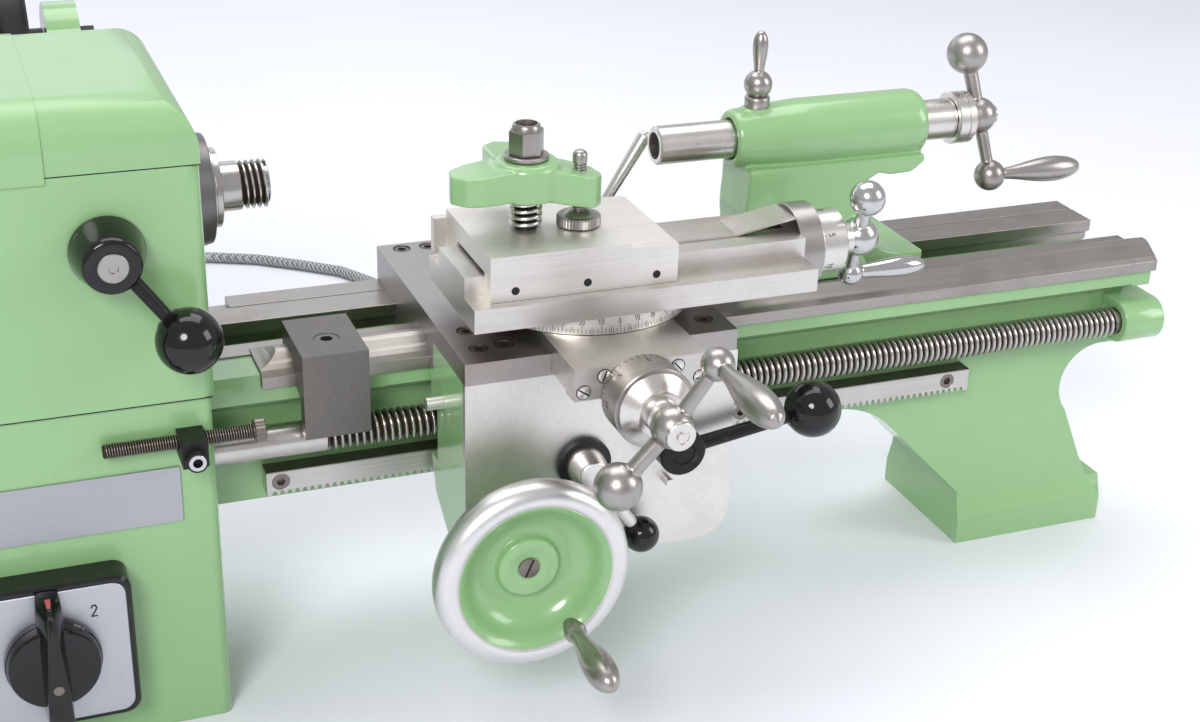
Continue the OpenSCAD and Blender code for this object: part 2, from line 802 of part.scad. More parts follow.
// Stops on the headstock side
module stop_rod_block() {
    end = stop_block_x + stop_block_w;
    mid = stop_block_x + stop_block_w / 2;
    clamp_z = 128.7;
    head_h = 4.5;
    color("dimgray") difference() {
        block([stop_block_x, end], [stop_block_front, -cab_half], [124.5, 135.2]);
        rod_x(stop_block_x - over, end + over, stop_y, stop_z, stop_rod_r + fit);
        rod_y(stop_block_front - over, stop_y, mid, clamp_z, 2 + fit);
    }
    color("silver") translate([mid, stop_block_front - head_h, clamp_z])
        rotate([90, 0, 0]) cap_screw(4, head_h, 2, 11.6);
}

module stop_rod() {
    thread_pitch = 1.2;
    color("silver") {
        rod_x(55.5, 113, stop_y, stop_z, stop_rod_r - 0.35);
        for (i = [0:47]) rod_x(55.7 + i * thread_pitch, 56.3 + i * thread_pitch, stop_y, stop_z, stop_rod_r);
        rod_x(113, 117.5, stop_y, stop_z, 4.6);
    }
}

module bed_stop() {
    end = bed_stop_x + bed_stop_w;
    mid = bed_stop_x + bed_stop_w / 2;
    color("silver") {
        difference() {
            along_x(bed_stop_x, end) polygon([
                [-58, 121], [-58, 157], [-19.5, 157], [-19.5, 146.7], [-29.1, 150.85], [-31.7, 150.85],
                [-34.2, 150.15], [-40.8, 145.75], [-43.3, 143.7], [-43.3, 138], [-51, 136], [-51, 121]
            ]);
            rod_z(153, 158, mid, -41.8, 5.1);
            rod_z(151, 154, mid, -41.8, 2.6);
        }
        translate([mid, -41.8, 156.8]) cap_screw(4.9, 3.6, 2.5, 4.6);
    }
}

// Saddle
module saddle() {
    guide = 0.06;
    color("silver") {
        difference() {
            along_x(saddle_x, saddle_end) polygon([
                [saddle_front, saddle_bottom], [saddle_front, saddle_top], [saddle_rear, saddle_top],
                [saddle_rear, way_z + guide], [11.3, way_z + guide], [11.3, 139.2], [14, 137.4],
                [14, 135], [11, 132.5], [-8, 132.5], [-10.4, 135], [-10.4, way_z + guide],
                [-16.1, way_z + guide], [-29.1, 150.6 + guide], [-31.6, 150.6 + guide],
                [-34.2, 149.9 + guide], [-40.8, 145.5 + guide], [-43.1, 143.6], [-43.1, 139.5],
                [-48, 139.5], [-48, saddle_bottom]
            ]);
            block([cross_x - fit, cross_x + cross_w + fit], [saddle_front - over, saddle_rear + over],
                  [cross_floor, saddle_top + over]);
            rod_y(saddle_front - over, -46, cross_screw_x, cross_screw_z, cross_screw_r + gap);
            for (p = saddle_screw_at) {
                rod_z(saddle_top - 4, saddle_top + over, p.x, p.y, 3.7);
                rod_z(saddle_top - 8, saddle_top - 3, p.x, p.y, 2.1);
            }
            rod_z(saddle_top - 7, saddle_top + over, lock_x, lock_y, 4 + fit);
        }
        difference() {
            block([247, 260], [saddle_front, -82], [146, cross_floor - 0.2]);
            rod_y(saddle_front - over, -80, cross_screw_x, cross_screw_z, cross_screw_r + fit);
        }
    }
}

module saddle_screws() {
    color("dimgray")
        for (p = saddle_screw_at) {
            translate([p.x, p.y, saddle_top - 0.3]) cap_screw(3.6, 3.6, 2, 7);
        }
}

module saddle_lock_lever() {
    color("silver") {
        rod_z(saddle_top - 6, saddle_top + gap, lock_x, lock_y, 4);
        rod_z(saddle_top + gap, saddle_top + 8, lock_x, lock_y, 6.5);
        bar([lock_x, lock_y, saddle_top + 6], lock_tip, 2, 3);
        ball(lock_tip, 3.2);
    }
}

module apron() {
    front = saddle_front + apron_plate_t;
    color("darkseagreen") difference() {
        along_x(saddle_x, apron_end) polygon([
            [front, apron_bottom + 6], [front, saddle_bottom], [-48.1, saddle_bottom], [-48.1, 139.4],
            [apron_rear, 139.4], [apron_rear, 100], [-50, 84], [-72, 70], [front + 4, apron_bottom + 2]
        ]);
        along_x(saddle_x + wall, apron_end - wall) polygon([
            [front + wall, 78], [front + wall, saddle_bottom - wall], [apron_rear + over,
            saddle_bottom - wall],
            [apron_rear + over, 90], [-56, 84], [-72, 76]
        ]);
        block([saddle_x - over, apron_end + over], [screw_y - screw_r - 3, apron_rear + over],
              [screw_z - screw_r - 8, screw_z + screw_r + 3]);
        rod_y(front - over, -60, wheel_x, wheel_z, 5 + fit);
        rod_y(-70, apron_rear + over, wheel_x, wheel_z, 10);
        rod_y(front - over, front + wall + over, feed_x, feed_z, 4 + fit);
        rod_y(front - over, front + wall + over, nut_lever_x, nut_lever_z, 5 + fit);
        along_y(front - over, apron_rear + over) difference() {
            translate([apron_end - 14, apron_bottom - over]) square([15, 15 + over]);
            translate([apron_end - 14, apron_bottom + 14]) circle(r = 14);
        }
        block([247, 260], [saddle_front - over, -48 + over], [145, saddle_bottom + over]);
    }
}

module apron_plate() {
    corner = 14;
    color("silver") difference() {
        along_y(saddle_front, saddle_front + apron_plate_t) union() {
            translate([saddle_x, apron_bottom]) square([apron_end - saddle_x - corner,
                  saddle_bottom - apron_bottom]);
            translate([apron_end - corner, apron_bottom + corner])
                square([corner, saddle_bottom - apron_bottom - corner]);
            translate([apron_end - corner, apron_bottom + corner]) circle(r = corner);
        }
        for (p = [[wheel_x, wheel_z, 5], [feed_x, feed_z, 4], [nut_lever_x, nut_lever_z, 5]]) {
            rod_y(saddle_front - over, saddle_front + apron_plate_t + over, p.x, p.y, p.z + fit);
        }
        block([246.9, 260.1], [saddle_front - over, saddle_front + apron_plate_t + over],
              [145.9, saddle_bottom + over]);
    }
    color("silver") rod_y(saddle_front - 6, saddle_front, 276.9, 97.5, 2);
    color("silver") rod_x(saddle_x - 7.4, saddle_x, -62, stop_z, 2.7);
}

module handwheel() {
    rim_mid = wheel_r - rim_r;
    rim_lead = 4.2;
    hub_r = 12.5;
    handle_angle = -59;
    handle_at = 31.4;
    color("darkseagreen") translate([wheel_x, wheel_y, wheel_z]) rotate([90, 0, 0]) {
        difference() {
            rotate_extrude() {
                translate([rim_mid, rim_lead]) circle(r = rim_r, $fn = 32);
                polygon([
                    [0, -18], [hub_r - 1, -18], [hub_r, -7], [rim_mid - 9, -6.2], [rim_mid - 2, 0],
                    [rim_mid, rim_lead], [rim_mid - 6, rim_lead], [rim_mid - 10.4, 0.2],
                    [rim_mid - 14, -2], [hub_r + 1, -2.2], [hub_r, -1], [hub_r - 1, 1.3], [0, 1.3]
                ]);
            }
            translate([0, 0, -19]) cylinder(h = 16, r = 5);
            translate([-6, -0.6, 0.7]) cube([12, 1.2, 2]);
        }
    }
    color("silver")
        translate([wheel_x + handle_at * cos(handle_angle), wheel_y - 6.5,
              wheel_z + handle_at * sin(handle_angle)])
        rotate([90, 0, 0]) turned_handle(46.5, 3.6, 6.5);
}

module pinion_shaft() {
    color("silver") {
        rod_y(wheel_y + 3.1, -42, wheel_x, wheel_z, 5);
        translate([wheel_x, -32.6, wheel_z]) rotate([90, 0, 0])
            linear_extrude(9.4) gear_outline(pinion_teeth, 90);
    }
}

module feed_lever() {
    color("silver") {
        rod_y(saddle_front - 3.5, saddle_front - 0.2, feed_x, feed_z, 11.3);
        rod_y(-106, saddle_front - 3, feed_x, feed_z, 6.5, 8.5);
        rod_y(saddle_front - 1, -78, feed_x, feed_z, 4);
        bar([feed_x + 2, -102, feed_z - 3], feed_knob, 2.8, 2.4);
    }
    color("black") ball(feed_knob, 7.6);
}

module half_nut_lever() {
    hub_r = 10;
    crank = [nut_lever_x + nut_crank_r * cos(nut_crank_angle),
          nut_lever_z + nut_crank_r * sin(nut_crank_angle)];
    color("black") {
        rod_y(-104, saddle_front - 0.2, nut_lever_x, nut_lever_z, hub_r);
        bar([nut_lever_x + 4, -99, nut_lever_z + 0.6], nut_lever_knob, 3.1, 2.8);
        ball(nut_lever_knob, 12);
    }
    color("silver") {
        rod_y(saddle_front - 1, -68, nut_lever_x, nut_lever_z, 5);
        rod_y(-72, -68, nut_lever_x, nut_lever_z, 10.5);
        rod_y(-69, -60, crank.x, crank.y, 2);
    }
}

module half_nut() {
    pin_z = nut_lever_z + nut_crank_r * sin(nut_crank_angle);
    pin_x = nut_lever_x + nut_crank_r * cos(nut_crank_angle);
    color("peru") difference() {
        union() {
            block([nut_x, nut_x + nut_w], [-53, -35.5], [100.3, screw_z - nut_open - 0.2]);
            block([nut_x, nut_x + 16], [-66, -52], [100.3, 104]);
            block([nut_x, nut_x + 16], [-66, -62], [100.3, 117]);
        }
        rod_x(nut_x - over, nut_x + nut_w + over, screw_y, screw_z - nut_open, screw_r + 0.2);
        block([pin_x - 3.2, pin_x + 3.2], [-67, -61], [pin_z - 2.15, pin_z + 2.15]);
    }
}

// Cross slide
module cross_slide() {
    end = cross_x + cross_w;
    color("silver") {
        difference() {
            union() {
                block([cross_x, end], [cross_front + cross_end_plate, cross_rear],
                      [cross_floor + 0.1, cross_top]);
                block([cross_x, end], [cross_front, cross_front + cross_end_plate],
                      [saddle_bottom - 0.3, cross_top]);
            }
            rod_y(cross_front - over, cross_front + cross_end_plate + over, cross_screw_x, cross_screw_z,
                  cross_screw_r + fit);
            rod_y(cross_front + cross_end_plate, cross_rear + over, cross_screw_x, cross_screw_z,
                  cross_screw_r + 0.4);
            for (p = [[229.8, 155.1], [238.2, 160.9], [268.6, 160.9], [278.4, 155]]) {
                rod_y(cross_front - over, cross_front + 1.6, p.x, p.y, 2.9);
            }
            rod_z(cross_top - 5, cross_top + over, swivel_x, swivel_y, 8 + fit);
        }
        for (p = [[229.8, 155.1], [238.2, 160.9], [268.6, 160.9], [278.4, 155]]) difference() {
            rod_y(cross_front - 0.2, cross_front + 1.5, p.x, p.y, 2.7);
            translate([p.x, cross_front, p.y]) rotate([0, 35, 0])
                cube([6, 1.4, 0.7], center = true);
        }
        rod_z(cross_top - 0.1, cross_top + 0.6, 254.4, -111.8, 2.4);
    }
}

module cross_slide_screw() {
    color("silver") {
        rod_y(cross_hub_y + 5.1, -58, cross_screw_x, cross_screw_z, cross_screw_r);
        rod_y(-132, cross_front - 0.2, cross_screw_x, cross_screw_z, cross_dial_r);
        rod_y(-137, -132, cross_screw_x, cross_screw_z, 9, cross_dial_r - 2);
        rod_y(-141, -137, cross_screw_x, cross_screw_z, 7);
    }
}

module cross_slide_crank() {
    hub = [cross_screw_x, cross_hub_y, cross_screw_z];
    small = hub + [15.8, -3, 24.8];
    color("silver") difference() {
        union() {
            ball_crank(hub, 8.4, hub + [-19.7, 3, -23.5], 9.4, small, 6.5, 3.1, [90, 0, 0]);
            translate(small + [0, -3, 0]) rotate([90, 0, 0]) turned_handle(48, 3.4, 6.5);
        }
        rod_y(cross_hub_y + 5, -138, hub.x, hub.z, cross_screw_r);
    }
}

// Top slide
module top_slide_base() {
    end = top_x + top_base_len;
    color("silver") difference() {
        union() {
            rod_z(cross_top + 0.2, swivel_top, swivel_x, swivel_y, swivel_r, swivel_r - 1.8);
            rod_z(cross_top - 4.5, cross_top + 1, swivel_x, swivel_y, 8);
            block([top_x, end], [top_front, top_rear], [swivel_top, top_base_top]);
            block([top_x, end], [tail_front, tail_rear], [top_base_top, tail_top]);
            rod_x(end, top_flange_end, top_screw_y, top_screw_z, 18);
        }
        block([230, end - 3], [top_screw_y - 5, top_screw_y + 5], [174.5, tail_top + over]);
        rod_x(end - 4, top_flange_end + over, top_screw_y, top_screw_z, top_screw_r + fit);
    }
}

module top_slide_block() {
    step_x = 262;
    color("silver") difference() {
        union() {
            block([block_x, step_x], [block_front, block_rear], [top_base_top + 0.1, block_top]);
            block([step_x, block_end], [block_front, block_rear], [top_base_top + 0.1, block_top - 2.5]);
            block([198.2, block_end], [block_rear, -19.5], [top_base_top + 0.1, block_top - 4]);
        }
        block([block_x - 6, block_end + over], [tail_front - 0.1, tail_rear + 0.1],
              [top_base_top, tail_top + 1.6]);
        rod_z(192, block_top + over, stud_x, stud_y, stud_r + 0.02);
        for (x = [213.7, 243.6, 272.9]) rod_y(block_front - over, block_front + 3, x, 185.5, 1.6);
    }
    color("silver") difference() {
        block([236, 248], [top_screw_y - 4.5, top_screw_y + 4.5], [175, tail_top + 1.7]);
        rod_x(235, 249, top_screw_y, top_screw_z, top_screw_r + fit);
    }
}

module chip_guard() {
    low = tail_top + 0.1;
    color("lightsteelblue") difference() {
        along_y(top_screw_y - 9, top_screw_y + 9) polygon([
            [250, low], [316, low], [342.8, 194.8], [342.8, 195.6], [316, low + 0.85], [250, low + 0.85]
        ]);
        block([250 - over, 282], [top_screw_y - 5, top_screw_y + 5], [tail_top - over, tail_top + 2]);
    }
}

module top_slide_screw() {
    color("silver") {
        rod_x(230.5, top_hub_x - 5.1, top_screw_y, top_screw_z, top_screw_r);
        rod_x(top_flange_end + 0.2, 367, top_screw_y, top_screw_z, top_dial_r);
        rod_x(367, 370.5, top_screw_y, top_screw_z, top_dial_r - 2, 7);
    }
}

module top_slide_crank() {
    hub = [top_hub_x, top_screw_y, top_screw_z];
    small = hub + [3, 9.6, -20.9];
    color("lightgray") difference() {
        union() {
            ball_crank(hub, 8.6, hub + [-3, -9.6, 20.9], 7.7, small, 5.7, 2.9, [0, 90, 0]);
            translate(small + [2, 0, 0]) rotate([0, 90, 0]) turned_handle(36, 3, 4.6);
        }
        rod_x(369, top_hub_x - 5, hub.y, hub.z, top_screw_r);
    }
}

// Tool clamp on the top slide
module tool_stud() {
    color("dimgray") rod_z(193, 241, stud_x, stud_y, stud_r);
}

// Closed tube along a list of points, with its ring of corners at right angles to the path
function unit(v) = v / norm(v);
function path_dir(path, i) =
    unit(path[min(i + 1, len(path) - 1)] - path[max(i - 1, 0)]);
module tube(path, r, sides) {
    n = len(path);
    up = [0, 0, 1];
    rings = [
        for (i = [0:n - 1]) let (d = path_dir(path, i), a = unit(cross(up, d)), b = cross(d, a))
        for (k = [0:sides - 1]) path[i] + r * (cos(360 * k / sides) * a + sin(360 * k / sides) * b)
    ];
    sides_faces = [
        for (i = [0:n - 2], k = [0:sides - 1]) let (m = (k + 1) % sides)
        [i * sides + k, i * sides + m, (i + 1) * sides + m, (i + 1) * sides + k]
    ];
    polyhedron(rings, concat(
        [for (f = sides_faces) [f[0], f[3], f[2], f[1]]],
        [[for (k = [0:sides - 1]) k]],
        [[for (k = [sides - 1:-1:0]) (n - 1) * sides + k]]
    ));
}

module clamp_spring() {
    coil_mid = 6;
    wire_r = 0.8;
    turns = 4;
    steps = 15;
    low = block_top + wire_r + 0.2;
    rise = 12.6 - 2 * wire_r;
    path = [
        for (i = [0:turns * steps]) let (a = 360 * i / steps)
        [stud_x + coil_mid * cos(a), stud_y + coil_mid * sin(a), low + rise * i / (turns * steps)]
    ];
    color("silver") tube(path, wire_r, 8);
}

module tool_clamp() {
    arm_r = 9;
    color("darkseagreen") difference() {
        union() {
            rod_z(213.2, 228, stud_x, stud_y, 14);
            rod_z(228, clamp_top, stud_x, stud_y, 12, 11);
            hull() {
                rod_z(215, 227, 203, -59, 9);
                rod_z(214.5, 227.5, stud_x - 6, stud_y, 11);
            }
            hull() {
                rod_z(208, 221.5, jack_x, jack_y, arm_r);
                rod_z(213.5, 227, stud_x + 6, stud_y, 11);
            }
            hull() {
                rod_z(214.5, 226, 225.5, -27, 7);
                rod_z(213.5, 227.5, stud_x, stud_y + 4, 11);
            }
        }
        rod_z(200, 240, stud_x, stud_y, stud_r + fit);
        rod_z(200, 240, jack_x, jack_y, jack_r + fit);
        rod_z(222.2, 240, jack_x, jack_y, 6);
        rod_z(200, 213.1, stud_x, stud_y, 7.6);
    }
}

module clamp_nut() {
    hex_r = 12.5 / 2 / cos(30);
    color("silver") difference() {
        union() {
            rod_z(clamp_top + 0.2, 231, stud_x, stud_y, 9);
            translate([stud_x, stud_y, 231]) cylinder(h = 12, r = hex_r, $fn = 6);
            rod_z(243, 244.2, stud_x, stud_y, 6, 5.4);
        }
        rod_z(200, 250, stud_x, stud_y, stud_r + fit);
    }
}

module clamp_jack_screw() {
    color("silver") {
        rod_z(block_top + 0.2, 204.5, jack_x, jack_y, 9);
        rod_z(204.5, 206.5, jack_x, jack_y, 6, 4);
        rod_z(206, 226, jack_x, jack_y, jack_r);
        rod_z(226, 227.5, jack_x, jack_y, 2);
        rod_z(227.5, 232, jack_x, jack_y, 3.1);
    }
}

// Tailstock
module tailstock_casting() {
    color("darkseagreen") difference() {
        union() {
            rod_x(tail_x, 375, 0, spindle_z, 12.5, 15.6);
            rod_x(375, tail_end_x, 0, spindle_z, 15.6);
            along_y(-14, 14) polygon(concat(
                [[350, way_z + 6], [346, 160], [344, 172], [344, 205], [tail_end_x, 205], [tail_end_x, 194]],
                [[430, 190], [416, 189], [410.9, 191.8], [404.3, 188.3], [400, 181], [402.7, 173.5]],
                arc(426, 172, 22, 185, 255, 6), [[tail_base_end, way_z + 4], [tail_base_end, way_z + 3]]
            ));
            along_x(tail_base_x, tail_base_end) polygon([
                [-15.5, way_z + 0.06], [-15.5, 152.5], [saddle_rear, 152.5], [saddle_rear, way_z + 0.06],
                [11.2, way_z + 0.06], [11.2, 140], [8, 138], [-8, 138], [-10.3, 140], [-10.3, way_z + 0.06]
            ]);
            hull() {
                block([tail_base_x, 402], [-33, -15], [151, 154]);
                block([352, 400], [-14, -12], [151, 176]);
            }
            rod_z(218, 224.3, quill_lock_x, 0, 6.5);
        }
        rod_x(tail_x - over, tail_end_x + over, 0, spindle_z, quill_r + fit);
        rod_z(219.2, 226, quill_lock_x, 0, 3 + fit);
        rod_z(137, 160, 380, 0, 4.02);
        rod_x(349, 351, 0, spindle_z, quill_r + fit);
    }
}

module tailstock_barrel() {
    color("silver") difference() {
        rod_x(tail_end_x + 0.1, barrel_end_x - 2.6, 0, spindle_z, 9.3);
        rod_x(tail_end_x - over, barrel_end_x, 0, spindle_z, 7.5);
    }
}

module tailstock_clamp() {
    color("dimgray") {
        block([365, 395], [-20, 20], [117, 127.4]);
        rod_z(120, 158, 380, 0, 4);
    }
}

module quill() {
    neck_x = 402;
    end_x = 421;
    color("silver") difference() {
        union() {
            rod_x(quill_x + 0.8, neck_x, 0, spindle_z, quill_r);
            rod_x(quill_x, quill_x + 0.8, 0, spindle_z, quill_r - 0.8, quill_r);
            rod_x(neck_x, end_x, 0, spindle_z, 7);
        }
        rod_x(quill_x - over, quill_x + 45, 0, spindle_z, 6);
        rod_x(370, end_x + over, 0, spindle_z, 4 + fit);
    }
}

module tailstock_crank() {
    hub = [crank_hub_x, 0, spindle_z];
    low = [474.7, -7.5, 182.5];
    color("silver") {
        rod_x(402, 472, 0, spindle_z, 4);
        rod_x(453.2, 466, 0, spindle_z, 12);
        ball_crank(hub, 8.4, [464.7, 7.5, 237.9], 9.5, low, 7.3, 3, [0, 90, 0]);
        translate(low + [4, 0, 0]) rotate([0, 90, 0]) turned_handle(46, 3.2, 6.2);
    }
}

module quill_lock_lever() {
    tip = [quill_lock_x, 0, 258];
    color("silver") {
        rod_z(219.5, 225.5, quill_lock_x, 0, 3);
        rod_z(224.6, 229, quill_lock_x, 0, 5.6);
        ball([quill_lock_x, 0, 233.9], 6.3);
        translate([quill_lock_x, 0, 238]) turned_handle(20, 2.2, 3.4);
    }
}

// Mains cable with its gland, coil and plug
module strain_relief() {
    color("dimgray") difference() {
        union() {
            rod_y(cab_half, cab_half + 4, gland_x, gland_z, 9);
            rod_y(cab_half - 8, cab_half + 1, gland_x, gland_z, 4.9);
            rod_y(cab_half + 4, gland_end, gland_x, gland_z, 4.6, 7);
        }
        rod_y(cab_half - 10, gland_end - 3, gland_x, gland_z, cable_r + 0.1);
    }
}

module mains_cable() {
    color("gray") tube(cable_route, cable_r, 10);
}

module cable_coil() {
    color("gray") translate([coil_x, coil_y, 0.05]) rotate_extrude()
        translate([coil_r - coil_half_w, 0]) square([2 * coil_half_w, coil_h]);
}

module mains_plug() {
    color("dimgray") {
        rod_x(plug_at.x, plug_at.x + 34, plug_at.y, plug_at.z, 13, 17);
        rod_x(plug_at.x + 34, plug_at.x + 40, plug_at.y, plug_at.z, 17);
        rod_x(plug_at.x - 26, plug_at.x, plug_at.y, plug_at.z, 4.6, 7);
    }
    color("silver") for (side = [-9.5, 9.5]) {
        rod_x(plug_at.x + 39, plug_at.x + 59, plug_at.y + side, plug_at.z, 2.4);
    }
}

cabinet();
headstock_casting();
headstock_lid();
gear_cover();
bed_casting();
front_way();
rear_way();
rack();
rack_screws();
leadscrew_bracket();
nameplate();
switch_plate();
bearings();
motor();
countershaft_bracket();
drive_belts();
stop_rod_block();
strain_relief();
mains_cable();
cable_coil();
mains_plug();
spindle();
spindle_pulley();
countershaft();
motor_pulley();
idler_gear();
leadscrew();
gear_lever();
switch_knob();
stop_rod();
bed_stop();
saddle();
saddle_screws();
apron();
apron_plate();
saddle_lock_lever();
handwheel();
pinion_shaft();
feed_lever();
half_nut_lever();
half_nut();
cross_slide();
cross_slide_screw();
cross_slide_crank();
top_slide_base();
top_slide_block();
chip_guard();
top_slide_screw();
top_slide_crank();
tool_stud();
clamp_spring();
tool_clamp();
clamp_nut();
clamp_jack_screw();
tailstock_casting();
tailstock_barrel();
tailstock_clamp();
quill();
tailstock_crank();
quill_lock_lever();
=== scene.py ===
"""Bench lathe: camera, light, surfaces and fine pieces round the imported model.

Sizes are in millimetres here and become metres where a mesh or a camera is made.
X runs along the bed to the tailstock, Y to the rear and Z up, as in the part.
"""
import math

import bpy
from mathutils import Matrix, Vector


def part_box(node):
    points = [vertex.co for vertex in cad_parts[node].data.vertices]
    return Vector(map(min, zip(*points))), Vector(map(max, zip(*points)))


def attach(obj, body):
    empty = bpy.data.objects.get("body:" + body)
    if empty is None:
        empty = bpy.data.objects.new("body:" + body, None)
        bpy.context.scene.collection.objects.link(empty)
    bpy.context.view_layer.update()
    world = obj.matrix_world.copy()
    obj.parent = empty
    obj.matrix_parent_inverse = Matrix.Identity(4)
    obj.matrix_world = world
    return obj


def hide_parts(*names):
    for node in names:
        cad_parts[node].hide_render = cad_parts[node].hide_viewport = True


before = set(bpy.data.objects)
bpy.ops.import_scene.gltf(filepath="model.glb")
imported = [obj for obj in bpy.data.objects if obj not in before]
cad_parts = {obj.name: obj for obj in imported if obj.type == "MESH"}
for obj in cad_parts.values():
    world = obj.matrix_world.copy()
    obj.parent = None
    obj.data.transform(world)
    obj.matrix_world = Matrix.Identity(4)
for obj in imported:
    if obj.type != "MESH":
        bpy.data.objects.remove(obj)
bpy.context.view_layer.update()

MM = 0.001
X = Vector((1, 0, 0))
Y = Vector((0, 1, 0))
Z = Vector((0, 0, 1))

# Axes and places that several pieces share
SPINDLE = Vector((0.0, 0.0, 210.0))
LEADSCREW = Vector((0.0, -43.0, 115.0))
STOP_ROD = Vector((0.0, -64.0, 131.5))
CROSS_HUB = Vector((253.5, -148.0, 151.7))
TOP_HUB = Vector((379.0, -56.0, 180.0))
TAIL_HUB = Vector((469.7, 0.0, 210.0))
WHEEL = Vector((209.0, -115.0, 81.0))
STUD = Vector((227.5, -54.0, 0.0))
JACK = Vector((249.0, -57.0, 0.0))
SWITCH = Vector((28.8, -73.7, 50.4))
SWIVEL = Vector((255.6, -44.5, 165.2))
SWIVEL_R = 45.0

# Gears of module 1 behind the cabinet's left end: where they start along X, and their teeth
GEARS_X = -80.0
SPINDLE_TEETH = 30
IDLER_TEETH = 64
SCREW_TEETH = 60


def moved(point, **places):
    """A point with some of its coordinates replaced."""
    made = Vector(point)
    for name, value in places.items():
        setattr(made, name, value)
    return made


def around(sides, first=0.0):
    """Angles of the corners of a round shape; first is in degrees."""
    return [math.radians(first) + 2 * math.pi * i / sides for i in range(sides)]


def add_to_scene(name, data):
    """New object made of a mesh, a curve, a light or a camera."""
    made = bpy.data.objects.new(name, data)
    bpy.context.scene.collection.objects.link(made)
    return made


# Camera
def add_camera():
    right = Vector((0.93274, -0.35951, 0.02720)).normalized()
    ahead = Vector((0.33728, 0.84343, -0.41818)).normalized()
    up = right.cross(ahead)
    data = bpy.data.cameras.new("camera")
    data.sensor_fit = "HORIZONTAL"
    data.sensor_width = 36.0
    data.lens = 54.353
    data.clip_end = 20.0
    camera = add_to_scene("camera", data)
    turn = Matrix((right, up, -ahead)).transposed()
    camera.matrix_world = Matrix.Translation(Vector((4.2, -697.0, 455.1)) * MM) @ turn.to_4x4()
    bpy.context.scene.camera = camera


add_camera()


# Mains cable: its route from the gland, the coil on the bench and the lead to the plug
CABLE_R = 3.35
CABLE_ROUTE = [
    (-20, 92, 14), (-20, 106, 13), (-20, 122, 9.5), (-20, 138, 5.5), (-20, 156, 3.4),
    (-19, 200, 3.4), (-14, 250, 3.4), (-4, 300, 3.4), (13, 346, 3.4), (40, 390, 3.4),
    (73, 424, 3.4), (108, 445, 3.4), (144, 453, 3.4), (179, 449, 3.4), (208, 436, 3.4),
    (233, 418, 3.4), (256, 399, 3.4), (271, 374, 3.4), (279, 344, 3.4), (287, 313, 3.4),
    (300, 284, 3.4), (319, 262, 3.4), (340, 251.8, 3.4),
]
COIL_CENTRE = Vector((362.0, 290.0, 0.0))
OUTER_TURN = 40.5
INNER_TURN = 33.5
LAYERS = (3.4, 10.2, 17.0)
# Where the coil changes its radius or its layer: degrees turned, radius, height
COIL_STATIONS = [
    (0, OUTER_TURN, LAYERS[0]), (280, OUTER_TURN, LAYERS[0]), (350, INNER_TURN, LAYERS[0]),
    (580, INNER_TURN, LAYERS[0]), (650, INNER_TURN, LAYERS[1]), (870, INNER_TURN, LAYERS[1]),
    (935, OUTER_TURN, LAYERS[1]), (1160, OUTER_TURN, LAYERS[1]), (1225, OUTER_TURN, LAYERS[2]),
    (1440, OUTER_TURN, LAYERS[2]),
]
PLUG_LEAD = [(372, 249.5, 17.0), (383, 249.5, 17.0)]


def coil_points(step=20):
    points = []
    for turned in range(0, 1441, step):
        after = next(i for i, s in enumerate(COIL_STATIONS) if s[0] >= turned)
        low = COIL_STATIONS[max(after - 1, 0)]
        high = COIL_STATIONS[after]
        share = (turned - low[0]) / max(high[0] - low[0], 1)
        share = share * share * (3 - 2 * share)
        radius = low[1] + (high[1] - low[1]) * share
        angle = math.radians(turned - 90)
        points.append((
            COIL_CENTRE.x + radius * math.cos(angle),
            COIL_CENTRE.y + radius * math.sin(angle),
            low[2] + (high[2] - low[2]) * share,
        ))
    return points


# Materials
def from_screen(red, green, blue):
    """Scene-linear colour of a screen colour given as 0 to 255."""
    def linear(value):
        value /= 255.0
        return value / 12.92 if value <= 0.04045 else ((value + 0.055) / 1.055) ** 2.4
    return (linear(red), linear(green), linear(blue), 1.0)


